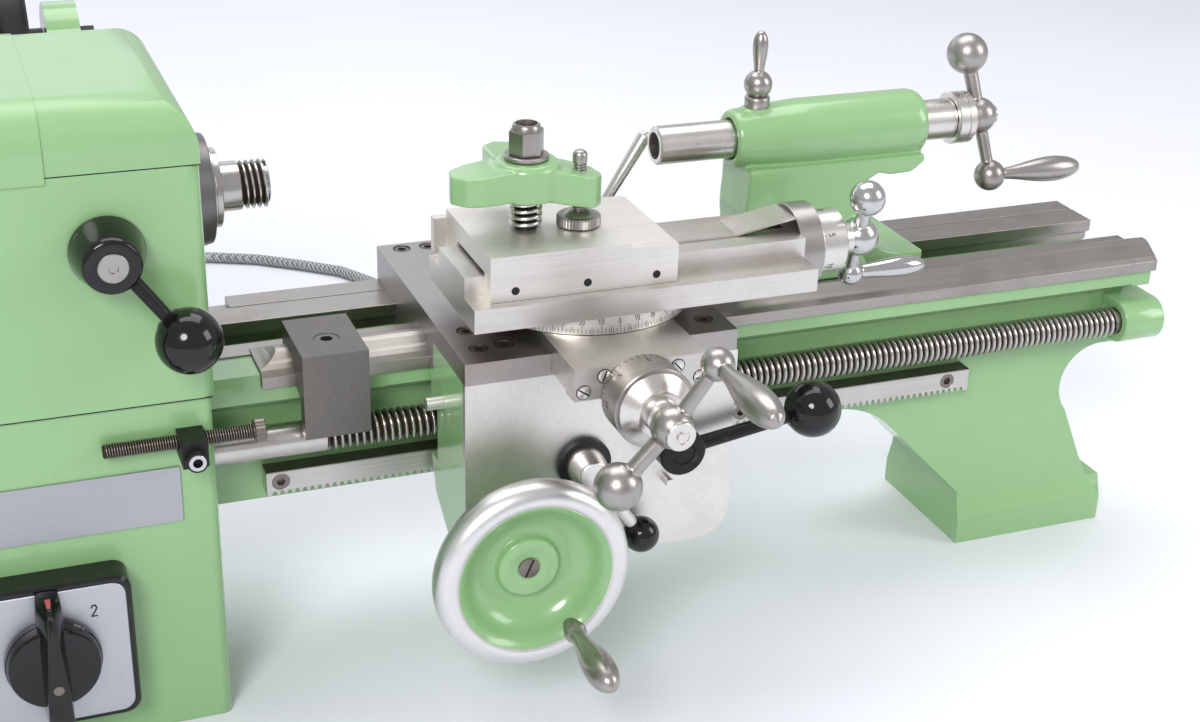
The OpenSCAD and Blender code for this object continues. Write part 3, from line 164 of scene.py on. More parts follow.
class Shader:
    """A material whose nodes are added one call at a time."""

    def __init__(self, name):
        self.material = bpy.data.materials.new(name)
        self.material.use_nodes = True
        self.tree = self.material.node_tree
        self.tree.nodes.clear()
        self.surface = self.node("ShaderNodeBsdfPrincipled")
        output = self.node("ShaderNodeOutputMaterial")
        self.link(self.surface.outputs[0], output.inputs["Surface"])
        self.place = self.node("ShaderNodeTexCoord").outputs["Object"]

    def node(self, kind, **settings):
        made = self.tree.nodes.new(kind)
        for key, value in settings.items():
            setattr(made, key, value)
        return made

    def link(self, source, target):
        self.tree.links.new(source, target)

    def stretched(self, scale):
        mapping = self.node("ShaderNodeMapping")
        mapping.inputs["Scale"].default_value = scale
        self.link(self.place, mapping.inputs["Vector"])
        return mapping.outputs["Vector"]

    def noise(self, scale, detail=3.0, rough=0.5, vector=None):
        made = self.node("ShaderNodeTexNoise")
        made.inputs["Scale"].default_value = scale
        made.inputs["Detail"].default_value = detail
        made.inputs["Roughness"].default_value = rough
        self.link(vector or self.place, made.inputs["Vector"])
        return made.outputs["Fac"]

    def spread(self, value, low, high, to_low=0.0, to_high=1.0):
        made = self.node("ShaderNodeMapRange")
        for key, number in (("From Min", low), ("From Max", high), ("To Min", to_low), ("To Max", to_high)):
            made.inputs[key].default_value = number
        self.link(value, made.inputs["Value"])
        return made.outputs["Result"]

    def patches(self, scale, detail, low, high, to_low=0.0, to_high=1.0, uneven=0.5):
        """Cloudy patches: noise whose values from low to high become those from to_low to to_high."""
        return self.spread(self.noise(scale, detail, uneven), low, high, to_low, to_high)

    def mix(self, share, first, second):
        made = self.node("ShaderNodeMix", data_type="RGBA")
        self.link(share, made.inputs["Factor"])
        for index, colour in ((6, first), (7, second)):
            if isinstance(colour, tuple):
                made.inputs[index].default_value = colour
            else:
                self.link(colour, made.inputs[index])
        return made.outputs[2]

    def maths(self, kind, first, second=None):
        made = self.node("ShaderNodeMath", operation=kind)
        for index, value in enumerate((first, second)):
            if value is None:
                continue
            if isinstance(value, (int, float)):
                made.inputs[index].default_value = value
            else:
                self.link(value, made.inputs[index])
        return made.outputs[0]

    def part_of(self, axis):
        made = self.node("ShaderNodeSeparateXYZ")
        self.link(self.place, made.inputs[0])
        return made.outputs[axis]

    def finish(self, colour, rough, bump=None, **values):
        """Link colour, roughness and bump (height, strength, distance), set the other values."""
        self.link(colour, self.surface.inputs["Base Color"])
        self.link(rough, self.surface.inputs["Roughness"])
        if bump:
            made = self.node("ShaderNodeBump")
            self.link(bump[0], made.inputs["Height"])
            made.inputs["Strength"].default_value = bump[1]
            made.inputs["Distance"].default_value = bump[2]
            self.link(made.outputs["Normal"], self.surface.inputs["Normal"])
        for key, value in values.items():
            self.surface.inputs[key.replace("_", " ")].default_value = value
        return self.material


def darker(colour, share):
    return tuple(part * share for part in colour[:3]) + (1.0,)


def enamel(name, light, dark, rough=0.2, coat_rough=0.08):
    """Glossy brushed-on enamel with soft waves, a little grime and a few specks."""
    s = Shader(name)
    body = s.mix(s.patches(9.0, 3.0, 0.25, 0.75, uneven=0.55), light, dark)
    body = s.mix(s.patches(48.0, 6.0, 0.66, 0.9, 0.0, 0.35, 0.7), body, from_screen(112, 124, 84))
    body = s.mix(s.patches(460.0, 2.0, 0.79, 0.82, 0.0, 0.6), body, from_screen(104, 96, 66))
    gloss = s.patches(30.0, 2.0, 0.3, 0.7, rough, rough + 0.08)
    waves = (s.noise(42.0, 1.0, 0.4), 0.22, 0.0007)
    return s.finish(body, gloss, waves, Coat_Weight=0.5, Coat_Roughness=coat_rough, Specular_IOR_Level=0.5)


def steel(name, bright, rough, grain=(20.0, 2600.0, 2600.0), stain=0.3, tint=(150, 118, 90), contrast=0.86):
    """Bare steel with fine grinding lines along one direction, patches of brown film and small pits."""
    s = Shader(name)
    lines = s.noise(1.0, 3.0, 0.6, s.stretched(grain))
    body = s.mix(s.spread(lines, 0.3, 0.7), darker(bright, contrast), bright)
    body = s.mix(s.patches(26.0, 6.0, 0.5, 0.8, 0.0, stain, 0.65), body, from_screen(*tint))
    body = s.mix(s.patches(380.0, 3.0, 0.7, 0.77, 0.0, 0.45, 0.6), body, from_screen(84, 72, 62))
    worn = s.patches(18.0, 4.0, 0.3, 0.72, rough, rough + 0.1, 0.6)
    gloss = s.maths("ADD", worn, s.maths("MULTIPLY", lines, 0.05))
    return s.finish(body, gloss, (lines, 0.08, 0.0001), Metallic=1.0)


def turned(name, bright, rough, stain=0.2, tint=(150, 118, 90)):
    """Turned or polished steel with even fine marks."""
    return steel(name, bright, rough, (1500.0, 1500.0, 1500.0), stain, tint, 0.92)


def threaded(name, axis, groove, bright, rough):
    """Turned steel of a screw along X whose grooves are darkened with painted shade.

    The axis is a point on the screw's axis, and groove gives the radii of bottom and rim.
    """
    s = Shader(name)
    marks = s.noise(1500.0, 3.0, 0.6)
    body = s.mix(s.spread(marks, 0.3, 0.7), darker(bright, 0.88), bright)
    body = s.mix(s.patches(30.0, 6.0, 0.5, 0.8, 0.0, 0.4, 0.65), body, from_screen(112, 92, 78))
    reach = [s.maths("SUBTRACT", s.part_of(part), axis[part] * MM) for part in (1, 2)]
    squares = [s.maths("MULTIPLY", side, side) for side in reach]
    radius = s.maths("SQRT", s.maths("ADD", *squares))
    # painted shade: the colour darkens towards the bottom of each groove
    depth = s.spread(radius, groove[0] * MM, groove[1] * MM, 1.0, 0.0)
    body = s.mix(depth, body, (0.05, 0.034, 0.024, 1.0))
    worn = s.patches(60.0, 4.0, 0.3, 0.72, rough, rough + 0.1)
    gloss = s.maths("ADD", worn, s.maths("MULTIPLY", depth, 0.35))
    return s.finish(body, gloss, (marks, 0.08, 0.0001), Metallic=1.0)


def black_gloss(name, rough=0.07):
    """Hard black plastic with a polish that dust dulls here and there."""
    s = Shader(name)
    body = s.mix(s.patches(90.0, 5.0, 0.4, 0.8), (0.004, 0.004, 0.005, 1), (0.010, 0.0095, 0.0095, 1))
    gloss = s.patches(140.0, 4.0, 0.45, 0.8, rough, rough + 0.14)
    waves = (s.noise(30.0, 2.0), 0.05, 0.0006)
    return s.finish(body, gloss, waves, Coat_Weight=0.15, Coat_Roughness=0.05, Specular_IOR_Level=0.38)


def black_metal(name, rough=0.36, shade=0.018):
    """Blackened steel or satin black paint, worn a little at random."""
    s = Shader(name)
    worn = s.patches(120.0, 6.0, 0.6, 0.8, 0.0, 0.6, 0.7)
    body = s.mix(worn, (shade, shade, shade, 1), (0.12, 0.105, 0.09, 1))
    gloss = s.patches(60.0, 3.0, 0.3, 0.7, rough, rough + 0.2)
    return s.finish(body, gloss, (s.noise(300.0, 3.0), 0.2, 0.0002), Metallic=0.5)


def bronze(name):
    """Bronze with darker clouds and drawn marks."""
    s = Shader(name)
    body = s.mix(s.patches(40.0, 5.0, 0.3, 0.7), (0.50, 0.31, 0.13, 1), (0.34, 0.20, 0.09, 1))
    marks = s.noise(1.0, 3.0, 0.5, s.stretched((400.0, 90.0, 90.0)))
    return s.finish(body, s.patches(200.0, 3.0, 0.3, 0.7, 0.25, 0.42), (marks, 0.2, 0.0002), Metallic=1.0)


def rubber(name):
    """Dull black rubber with a fine grain."""
    s = Shader(name)
    body = s.mix(s.patches(80.0, 4.0, 0.3, 0.7), (0.02, 0.02, 0.02, 1), (0.035, 0.033, 0.03, 1))
    return s.finish(body, s.patches(150.0, 3.0, 0.3, 0.7, 0.6, 0.8), (s.noise(900.0, 2.0), 0.4, 0.0003))


def braid(name):
    """Grey sleeve woven from two sets of strands that cross each other."""
    s = Shader(name)
    strands = 1500.0
    x, y, z = (s.part_of(part) for part in range(3))
    first = s.maths("SINE", s.maths("MULTIPLY", s.maths("ADD", x, y), strands))
    other = s.maths("ADD", s.maths("SUBTRACT", x, y), z)
    weave = s.maths("MULTIPLY", first, s.maths("SINE", s.maths("MULTIPLY", other, strands)))
    body = s.mix(s.spread(weave, -0.5, 0.5), from_screen(98, 104, 104), from_screen(192, 196, 196))
    body = s.mix(s.patches(60.0, 3.0, 0.4, 0.7, 0.0, 0.25), body, from_screen(120, 118, 112))
    return s.finish(body, s.patches(80.0, 2.0, 0.3, 0.7, 0.5, 0.65), (weave, 0.4, 0.0006))


def rack_steel(name):
    """Steel of the rack: bright on its front, with painted shade that darkens the band along its top."""
    s = Shader(name)
    lines = s.noise(1.0, 3.0, 0.6, s.stretched((20.0, 2000.0, 2000.0)))
    body = s.mix(s.spread(lines, 0.3, 0.7), (0.50, 0.48, 0.45, 1), (0.62, 0.60, 0.57, 1))
    # painted shade: darker above this height, along the rack's top face
    band = s.spread(s.part_of(2), 0.0985, 0.0992, 0.0, 0.85)
    body = s.mix(band, body, (0.10, 0.085, 0.07, 1))
    return s.finish(body, s.patches(60.0, 4.0, 0.3, 0.7, 0.28, 0.5), (lines, 0.2, 0.0002), Metallic=1.0)


def pale_floor(name):
    """Matt pale floor, a little uneven."""
    s = Shader(name)
    body = s.mix(s.patches(3.0, 3.0, 0.3, 0.7), (0.78, 0.79, 0.85, 1), (0.81, 0.82, 0.875, 1))
    return s.finish(body, s.patches(8.0, 2.0, 0.3, 0.7, 0.65, 0.75), Specular_IOR_Level=0.2)


GREEN_LIGHT = from_screen(142, 182, 129)
GREEN_DARK = from_screen(134, 174, 121)
GREY_LIGHT = (0.74, 0.715, 0.68, 1.0)
GREY_MID = (0.42, 0.40, 0.38, 1.0)
ACROSS = (2600.0, 20.0, 2600.0)
MOTTLED = (900.0, 900.0, 500.0)
MATERIALS = {
    "enamel": enamel("green_enamel", GREEN_LIGHT, GREEN_DARK),
    "lid_enamel": enamel("lid_enamel", GREEN_LIGHT, GREEN_DARK, 0.3, 0.3),
    "ground": steel("ground_steel", GREY_LIGHT, 0.28),
    "ground_across": steel("ground_steel_across", (0.63, 0.605, 0.575, 1.0), 0.3, ACROSS, 0.35),
    "ground_upright": steel("ground_steel_upright", (0.80, 0.775, 0.745, 1.0), 0.36, MOTTLED, 0.22,
                            contrast=0.93),
    "saddle": steel("saddle_steel", (0.43, 0.405, 0.395, 1.0), 0.3, ACROSS, 0.45),
    "ways": steel("way_steel", (0.40, 0.375, 0.35, 1.0), 0.26, stain=0.45, tint=(116, 92, 70)),
    "stop_steel": steel("stop_steel", (0.19, 0.178, 0.166, 1.0), 0.34, MOTTLED, 0.3),
    "rack": rack_steel("rack_steel"),
    "turned": turned("turned_steel", GREY_LIGHT, 0.2),
    "patina": turned("handled_steel", GREY_MID, 0.26, 0.6, (112, 92, 78)),
    "thread": turned("thread_steel", (0.46, 0.44, 0.41, 1.0), 0.26, 0.6, (90, 66, 46)),
    "nose": turned("nose_steel", (0.50, 0.48, 0.46, 1.0), 0.17, 0.35, (96, 76, 64)),
    "nose_thread": threaded("nose_thread_steel", SPINDLE, (8.2, 9.5), (0.62, 0.60, 0.57, 1.0), 0.18),
    "screw_thread": threaded("screw_thread_steel", LEADSCREW, (5.4, 6.6), (0.60, 0.575, 0.54, 1.0), 0.22),
    "rod_thread": threaded("rod_thread_steel", STOP_ROD, (2.55, 3.0), (0.30, 0.27, 0.24, 1.0), 0.3),
    "block_steel": steel("block_steel", (0.84, 0.81, 0.775, 1.0), 0.38, stain=0.2),
    "polished": turned("polished_rim", (0.78, 0.775, 0.76, 1.0), 0.27, 0.06),
    "chrome": turned("chrome_plate", (0.60, 0.60, 0.60, 1.0), 0.09, 0.08),
    "flange_bright": turned("flange_rim_steel", (0.42, 0.40, 0.385, 1.0), 0.26, 0.4),
    "flange": turned("flange_steel", (0.20, 0.19, 0.19, 1.0), 0.3, 0.3, (96, 62, 50)),
    "scale_mark": black_metal("scale_mark", 0.5, 0.07),
    "screw_head": turned("screw_steel", (0.24, 0.215, 0.195, 1.0), 0.34, 0.5),
    "plate": steel("anodised_plate", from_screen(196, 198, 204), 0.4, stain=0.03, contrast=0.94),
    "name_plate": steel("name_plate_metal", from_screen(184, 185, 190), 0.44, stain=0.06, contrast=0.94),
    "dark_steel": black_metal("dark_steel"),
    "black_lever": black_metal("black_lever", 0.3, 0.012),
    "black": black_gloss("black_plastic"),
    "black_satin": black_gloss("black_satin", 0.3),
    # engraved marks and dark joints, and also painted shade in holes and slots
    "mark": black_metal("dark_mark_and_painted_shade", 0.5, 0.02),
    "red_mark": enamel("red_mark", from_screen(168, 34, 28), from_screen(150, 30, 26)),
    "bronze": bronze("bronze"),
    "rubber": rubber("belt_rubber"),
    "braid": braid("cable_braid"),
    "motor": enamel("motor_paint", from_screen(92, 100, 104), from_screen(80, 88, 92), 0.4),
    "floor": pale_floor("floor_surface"),
}
NODE_SURFACES = {
    "lid_enamel": "headstock_lid",
    "enamel": "cabinet headstock_casting gear_cover bed_casting leadscrew_bracket "
              "countershaft_bracket apron handwheel tool_clamp tailstock_casting",
    "ways": "front_way rear_way",
    "ground": "top_slide_base chip_guard",
    "block_steel": "top_slide_block",
    "stop_steel": "bed_stop",
    "ground_across": "cross_slide",
    "ground_upright": "apron_plate",
    "saddle": "saddle",
    "rack": "rack",
    "plate": "switch_plate",
    "name_plate": "nameplate",
    "turned": "spindle pinion_shaft feed_lever cross_slide_screw top_slide_screw clamp_spring "
              "tailstock_barrel quill saddle_lock_lever",
    "patina": "cross_slide_crank tailstock_crank quill_lock_lever clamp_nut clamp_jack_screw tool_stud",
    "thread": "leadscrew stop_rod",
    "chrome": "top_slide_crank",
    "screw_head": "rack_screws saddle_screws",
    "dark_steel": "stop_rod_block tailstock_clamp countershaft spindle_pulley motor_pulley",
    "black_lever": "gear_lever half_nut_lever",
    "bronze": "bearings half_nut idler_gear",
    "black": "switch_knob",
    "black_satin": "strain_relief mains_plug",
    "braid": "mains_cable cable_coil",
    "rubber": "drive_belts",
    "motor": "motor",
}
# Width of the rounded edge that a CAD node gets
EDGE_ROUNDING = {
    "cabinet": 1.0, "headstock_casting": 0.7, "headstock_lid": 1.2, "gear_cover": 2.0, "bed_casting": 2.0,
    "front_way": 0.4, "rear_way": 0.4, "top_slide_block": 0.5, "top_slide_base": 0.5,
    "bed_stop": 0.6, "cross_slide": 0.5, "saddle": 0.5, "apron": 1.2,
    "nameplate": 0.3, "stop_rod_block": 0.5, "leadscrew_bracket": 1.0,
    "rack": 0.25, "mains_plug": 1.0,
}


def round_edges(piece, width, angle):
    """Round the edges between faces that meet at more than an angle in degrees."""
    soft = piece.modifiers.new("rounded edges", "BEVEL")
    soft.width = width * MM
    soft.segments = 3
    soft.limit_method = "ANGLE"
    soft.angle_limit = math.radians(angle)
    soft.harden_normals = True


def dress_nodes():
    for surface, names in NODE_SURFACES.items():
        for name in names.split():
            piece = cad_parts[name]
            piece.data.materials.clear()
            piece.data.materials.append(MATERIALS[surface])
    for name, width in EDGE_ROUNDING.items():
        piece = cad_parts[name]
        weld = piece.modifiers.new("weld", "WELD")
        weld.merge_threshold = 0.00002
        round_edges(piece, width, 40)


dress_nodes()


# Shapes: points in millimetres and the faces between them
BOX_FACES = [(3, 2, 1, 0), (4, 5, 6, 7), (0, 1, 5, 4), (1, 2, 6, 5), (2, 3, 7, 6), (3, 0, 4, 7)]


class Shape:
    def __init__(self):
        self.points = []
        self.faces = []

    def add(self, points, faces):
        first = len(self.points)
        self.points.extend(Vector(p) for p in points)
        self.faces.extend([tuple(first + i for i in face) for face in faces])
        return self

    def rings(self, rings, caps=True):
        """Skin over closed rings that all have the same number of points."""
        sides = len(rings[0])
        faces = []
        for row in range(len(rings) - 1):
            for i in range(sides):
                j = (i + 1) % sides
                a = row * sides
                faces.append((a + i, a + j, a + sides + j, a + sides + i))
        if caps:
            last = (len(rings) - 1) * sides
            faces.append(tuple(range(sides - 1, -1, -1)))
            faces.append(tuple(range(last, last + sides)))
        return self.add([p for ring in rings for p in ring], faces)

    def turned(self, origin, axis, profile, sides=48, notch=0.0, first=0.0):
        """Solid of revolution; profile is a list of (distance along the axis, radius).

        Every second corner lies deeper by notch, and the first one at an angle of first degrees.
        """
        axis, side, other = axes_round(axis)
        outwards = [side * math.cos(a) + other * math.sin(a) for a in around(sides, first)]
        rings = []
        for along, radius in profile:
            centre = Vector(origin) + axis * along
            radius = max(radius, 0.01)
            rings.append([centre + out * (radius - notch * (i % 2)) for i, out in enumerate(outwards)])
        return self.rings(rings)

    def ring_of(self, origin, axis, section, sides=64):
        """Closed ring; section is a closed outline of (distance along the axis, radius)."""
        axis, side, other = axes_round(axis)
        rings = []
        for a in around(sides):
            out = side * math.cos(a) + other * math.sin(a)
            rings.append([Vector(origin) + axis * along + out * radius for along, radius in section])
        count = len(section)
        faces = []
        for i in range(sides):
            j = (i + 1) % sides
            for k in range(count):
                m = (k + 1) % count
                faces.append((i * count + k, i * count + m, j * count + m, j * count + k))
        return self.add([p for ring in rings for p in ring], faces)

    def box(self, low, high):
        (a, b, c), (d, e, f) = low, high
        corners = [(a, b, c), (d, b, c), (d, e, c), (a, e, c), (a, b, f), (d, b, f), (d, e, f), (a, e, f)]
        return self.add(corners, BOX_FACES)

    def ball(self, centre, radius, sides=40):
        half = sides // 2
        profile = [(-radius * math.cos(math.pi * i / half), radius * math.sin(math.pi * i / half))
                   for i in range(half + 1)]
        return self.turned(centre, Z, profile, sides)

    def bar(self, start, end, start_r, end_r, sides=32):
        start, end = Vector(start), Vector(end)
        length = (end - start).length
        return self.turned(start, end - start, [(0, start_r), (length, end_r)], sides)


def axes_round(axis):
    axis = Vector(axis).normalized()
    helper = Z if abs(axis.z) < 0.9 else X
    side = helper.cross(axis).normalized()
    return axis, side, axis.cross(side)


def make_piece(name, shape, surface, body, replaced=(), sharp=35.0, rounding=0.0):
    """Turn a shape into a piece that rides on a body."""
    mesh = bpy.data.meshes.new(name)
    mesh.from_pydata([tuple(p * MM) for p in shape.points], [], shape.faces)
    mesh.update()
    mesh.polygons.foreach_set("use_smooth", [True] * len(mesh.polygons))
    mesh.set_sharp_from_angle(angle=math.radians(sharp))
    mesh.materials.append(MATERIALS[surface])
    piece = add_to_scene(name, mesh)
    if rounding:
        round_edges(piece, rounding, 35)
    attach(piece, body)
    if replaced:
        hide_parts(*replaced)
    return piece


def fuse(piece, grain, rounds):
    """Melt overlapping closed shapes into one with soft fillets; grain is the size of its cells."""
    melt = piece.modifiers.new("fused", "REMESH")
    melt.mode = "VOXEL"
    melt.voxel_size = grain * MM
    melt.use_smooth_shade = True
    soft = piece.modifiers.new("softened", "SMOOTH")
    soft.factor = 0.5
    soft.iterations = rounds


def handle_profile(length, foot_r, swell_r, steps=26):
    """Profile of a turned handle that swells up to a share of its length and closes in a round end."""
    swell_at = 0.66
    profile = []
    for i in range(steps + 1):
        t = i / steps
        if t < swell_at:
            radius = foot_r + (swell_r - foot_r) * math.sin(math.pi / 2 * t / swell_at) ** 2
        else:
            radius = swell_r * math.sqrt(max(0.0, 1 - ((t - swell_at) / (1 - swell_at)) ** 2))
        profile.append((length * t, radius))
    return profile


def thread(shape, origin, axis, length, root_r, tip_r, pitch, sides=36):
    """Screw thread of true helix along an axis from origin, with rounded crests and roots."""
    axis, side, other = axes_round(axis)
    section = [(0.0, 0.0), (0.16, 0.0), (0.36, 0.85), (0.44, 1.0), (0.62, 1.0), (0.70, 0.85), (0.9, 0.0)]
    turns = range(-1, math.ceil(length / pitch) + 2)
    rows = [(pitch * (turn + share), rise) for turn in turns for share, rise in section]
    rings = []
    for along, rise in rows:
        ring = []
        for i in range(sides):
            d = along + pitch * i / sides
            radius = root_r + (tip_r - root_r) * rise
            if d <= 0 or d >= length:
                radius = root_r
            d = min(max(d, 0.0), length)
            a = 2 * math.pi * i / sides
            ring.append(Vector(origin) + axis * d + (side * math.cos(a) + other * math.sin(a)) * radius)
        rings.append(ring)
    period = len(section)
    faces = []
    for row in range(len(rings) - 1 - period):
        for i in range(sides - 1):
            a = row * sides + i
            faces.append((a, a + 1, a + sides + 1, a + sides))
        a = row * sides + sides - 1
        b = (row + period) * sides
        faces.append((a, b, b + sides, a + sides))
    return shape.add([p for ring in rings for p in ring], faces)


def gear(shape, origin, teeth, width, phase):
    """Spur gear of module 1 along X with rounded teeth."""
    flanks = [(0.0, -1.2), (0.12, -1.2), (0.22, -0.5), (0.30, 0.3), (0.40, 0.95),
              (0.60, 0.95), (0.70, 0.3), (0.78, -0.5), (0.88, -1.2)]
    outline = []
    for tooth in range(teeth):
        for share, rise in flanks:
            a = math.radians(phase) + 2 * math.pi * (tooth + share - 0.5) / teeth
            outline.append((math.cos(a) * (teeth / 2 + rise), math.sin(a) * (teeth / 2 + rise)))
    shape.rings([[origin + Vector((d, y, z)) for y, z in outline] for d in (0.0, width)])


# Engraved marks and plain numbers, as thin ribbons that lie on a surface
DIGITS = {
    "0": [(0.1, 0.3), (0.1, 1.1), (0.35, 1.4), (0.65, 1.1), (0.65, 0.3), (0.38, 0.0), (0.1, 0.3)],
    "1": [(0.15, 1.1), (0.4, 1.4), (0.4, 0.0)],
    "2": [(0.1, 1.1), (0.25, 1.4), (0.55, 1.4), (0.68, 1.1), (0.6, 0.8), (0.1, 0.0), (0.7, 0.0)],
    "3": [(0.1, 1.4), (0.65, 1.4), (0.35, 0.85), (0.6, 0.7), (0.65, 0.3), (0.4, 0.0), (0.1, 0.15)],
    "4": [(0.55, 0.0), (0.55, 1.4), (0.05, 0.45), (0.75, 0.45)],
    "5": [(0.65, 1.4), (0.15, 1.4), (0.12, 0.8), (0.45, 0.85), (0.68, 0.5), (0.45, 0.0), (0.1, 0.1)],
    "6": [(0.6, 1.35), (0.25, 1.0), (0.1, 0.4), (0.35, 0.0), (0.65, 0.3), (0.5, 0.75), (0.15, 0.55)],
    "7": [(0.1, 1.4), (0.7, 1.4), (0.3, 0.0)],
    "8": [(0.4, 0.8), (0.12, 1.1), (0.38, 1.4), (0.64, 1.1), (0.4, 0.8), (0.1, 0.35), (0.38, 0.0),
          (0.68, 0.35), (0.4, 0.8)],
    "9": [(0.62, 0.8), (0.35, 0.6), (0.12, 1.0), (0.35, 1.4), (0.65, 1.1), (0.55, 0.4), (0.2, 0.0)],
}
DIGIT_HEIGHT = 1.4
DIGIT_STEP = 0.9


def ribbon(shape, line, width, place):
    """Strip of quads along a line of (across, along) points; place turns a point into space."""
    for (x0, y0), (x1, y1) in zip(line, line[1:]):
        length = math.hypot(x1 - x0, y1 - y0)
        ux, uy = (x1 - x0) / length, (y1 - y0) / length
        nx, ny = -uy * width / 2, ux * width / 2
        ex, ey = ux * width / 3, uy * width / 3
        corners = [(x0 - ex - nx, y0 - ey - ny), (x1 + ex - nx, y1 + ey - ny),
                   (x1 + ex + nx, y1 + ey + ny), (x0 - ex + nx, y0 - ey + ny)]
        shape.add([place(x, y) for x, y in corners], [(0, 1, 2, 3)])


def number(shape, text, at, height, width, place):
    """Plain figures centred on a point."""
    scale = height / DIGIT_HEIGHT
    start = at[0] - len(text) * DIGIT_STEP * scale / 2
    for k, figure in enumerate(text):
        line = [(start + (k * DIGIT_STEP + x) * scale, at[1] + y * scale) for x, y in DIGITS[figure]]
        ribbon(shape, line, width, place)


def on_cylinder(origin, axis, radius):
    """Place (arc length, distance along the axis) on a cylinder; arc length 0 is at the top."""
    top = Z - axis * Z.dot(axis)
    top = top.normalized() if top.length > 0.1 else -Y
    across = axis.cross(top)

    def place(arc, along):
        a = arc / radius
        return origin + axis * along + (top * math.cos(a) + across * math.sin(a)) * radius
    return place


def dial_marks(name, origin, axis, radius, divisions, length, body):
    """Graduations round a dial, from its edge inwards, with a plain number at every fifth one."""
    shape = Shape()
    place = on_cylinder(origin, axis, radius + 0.04)
    edge = 0.4
    for k in range(divisions):
        arc = 2 * math.pi * radius * k / divisions
        reach = length * (1.7 if k % 10 == 0 else 1.3 if k % 5 == 0 else 1.0)
        ribbon(shape, [(arc, edge), (arc, edge + reach)], 0.28, place)
        if k % 5 == 0:
            number(shape, str(k), (arc, edge + length * 1.7 + 0.7), 2.6, 0.34, place)
    make_piece(name, shape, "mark", body)


# Ball cranks
def ball_crank(name, hub, axis, big, small, arm_r, hub_r, handle, body, replaced, surface):
    """Hub ball with two arms that end in balls, and a turned handle on the small ball.

    The axis points outwards. Big and small are (offset from the hub, radius), and the
    handle is (length, radius at its foot, radius of its swell, offset from the small ball).
    """
    shape = Shape()
    shape.ball(hub, hub_r)
    ends = [(hub + Vector(offset), radius) for offset, radius in (big, small)]
    for centre, radius in ends:
        shape.ball(centre, radius)
    for (centre, radius), taper in zip(ends, (1.16, 0.88)):
        shape.bar(hub, centre, arm_r * 1.02, arm_r * taper)
    length, foot_r, swell_r, offset = handle
    shape.turned(ends[1][0] + axis * offset, axis, handle_profile(length, foot_r, swell_r), 40)
    fuse(make_piece(name, shape, surface, body, [replaced]), 0.34, 5)


def add_cross_crank():
    ball_crank("cross_crank", CROSS_HUB, -Y, ((-19.7, 3, -23.5), 9.4), ((15.8, -3, 24.8), 6.5), 3.1, 8.4,
               (48, 2.7, 6.5, 3.0), "cross_crank", "cross_slide_crank", "patina")
    hub = Shape().turned(CROSS_HUB - Y * 7.2, -Y, [
        (0, 5.8), (1.6, 5.8), (1.9, 5.5), (1.9, 3.1), (1.5, 3.0), (1.5, 2.0), (2.4, 1.7), (2.6, 0)])
    make_piece("cross_crank_nut", hub, "turned", "cross_crank")
    dial_start = moved(CROSS_HUB, y=-117.2)
    dial = Shape().turned(dial_start, -Y, [(0, 16.0), (0.4, 16.5), (14.4, 16.5), (14.8, 16.1)], 96)
    dial.turned(moved(CROSS_HUB, y=-58.0), -Y, [(0, 3.2), (0.8, 4.0), (84.9, 4.0)], 32)
    make_piece("cross_dial", dial, "patina", "cross_crank", ["cross_slide_screw"])
    cone = Shape().turned(moved(CROSS_HUB, y=-132.0), -Y, [
        (0, 14.6), (0.3, 14.8), (4.6, 9.6), (5.0, 9.0), (5.0, 7.2), (9.0, 7.0), (11.5, 5.0)], 96)
    make_piece("cross_cone", cone, "turned", "cross_crank")
    dial_marks("cross_dial_marks", dial_start, -Y, 16.5, 40, 2.0, "cross_crank")


def add_top_crank():
    ball_crank("top_crank", TOP_HUB, X, ((-3, -9.6, 20.9), 7.7), ((3, 9.6, -20.9), 5.7), 2.9, 8.6,
               (36, 3.0, 4.6, 2.0), "top_crank", "top_slide_crank", "chrome")
    dial_start = moved(TOP_HUB, x=353.7)
    dial = Shape().turned(dial_start, X, [
        (0, 13.5), (0.4, 14.0), (12.6, 14.0), (13.3, 13.2), (16.4, 7.6), (16.8, 7.0), (20.2, 6.6)], 96)
    dial.turned(moved(TOP_HUB, x=230.5), X, [(0, 3.2), (0.8, 4.0), (143.4, 4.0)], 32)
    make_piece("top_dial", dial, "turned", "top_crank", ["top_slide_screw"])
    flange = Shape().ring_of(moved(TOP_HUB, x=343.0), X, [
        (-0.1, 4.3), (-0.1, 17.7), (0.3, 18.1), (10.2, 18.1), (10.6, 17.7), (10.6, 4.3)], 96)
    make_piece("top_flange", flange, "flange_bright", "swivel")
    face = Shape().ring_of(moved(TOP_HUB, x=342.8), X, [(0, 4.4), (0, 17.4), (0.1, 17.4), (0.1, 4.4)], 96)
    make_piece("top_flange_face", face, "flange", "swivel")
    dial_marks("top_dial_marks", dial_start, X, 14.0, 30, 1.8, "top_crank")


def add_tail_crank():
    ball_crank("tail_crank", TAIL_HUB, X, ((-5, 7.5, 27.9), 9.5), ((5, -7.5, -27.5), 7.3), 3.0, 8.4,
               (46, 2.5, 6.0, 4.0), "tailstock_crank", "tailstock_crank", "patina")
    dial = Shape().turned(moved(TAIL_HUB, x=453.2), X, [
        (0, 11.4), (0.5, 12.0), (4.8, 12.0), (5.0, 11.5), (5.6, 11.5), (5.8, 12.0), (8.6, 12.0),
        (12.8, 8.0)], 96)
    dial.turned(moved(TAIL_HUB, x=402), X, [(0, 3.4), (0.7, 4.0), (70.0, 4.0)], 32)
    make_piece("tail_dial", dial, "turned", "tailstock_crank")
    nut = Shape().turned(moved(TAIL_HUB, x=477.0), X, [
        (0, 4.2), (0.8, 4.2), (1.0, 3.8), (1.0, 2.4), (1.8, 2.2), (2.0, 1.8)], 40)
    make_piece("tail_crank_nut", nut, "turned", "tailstock_crank")


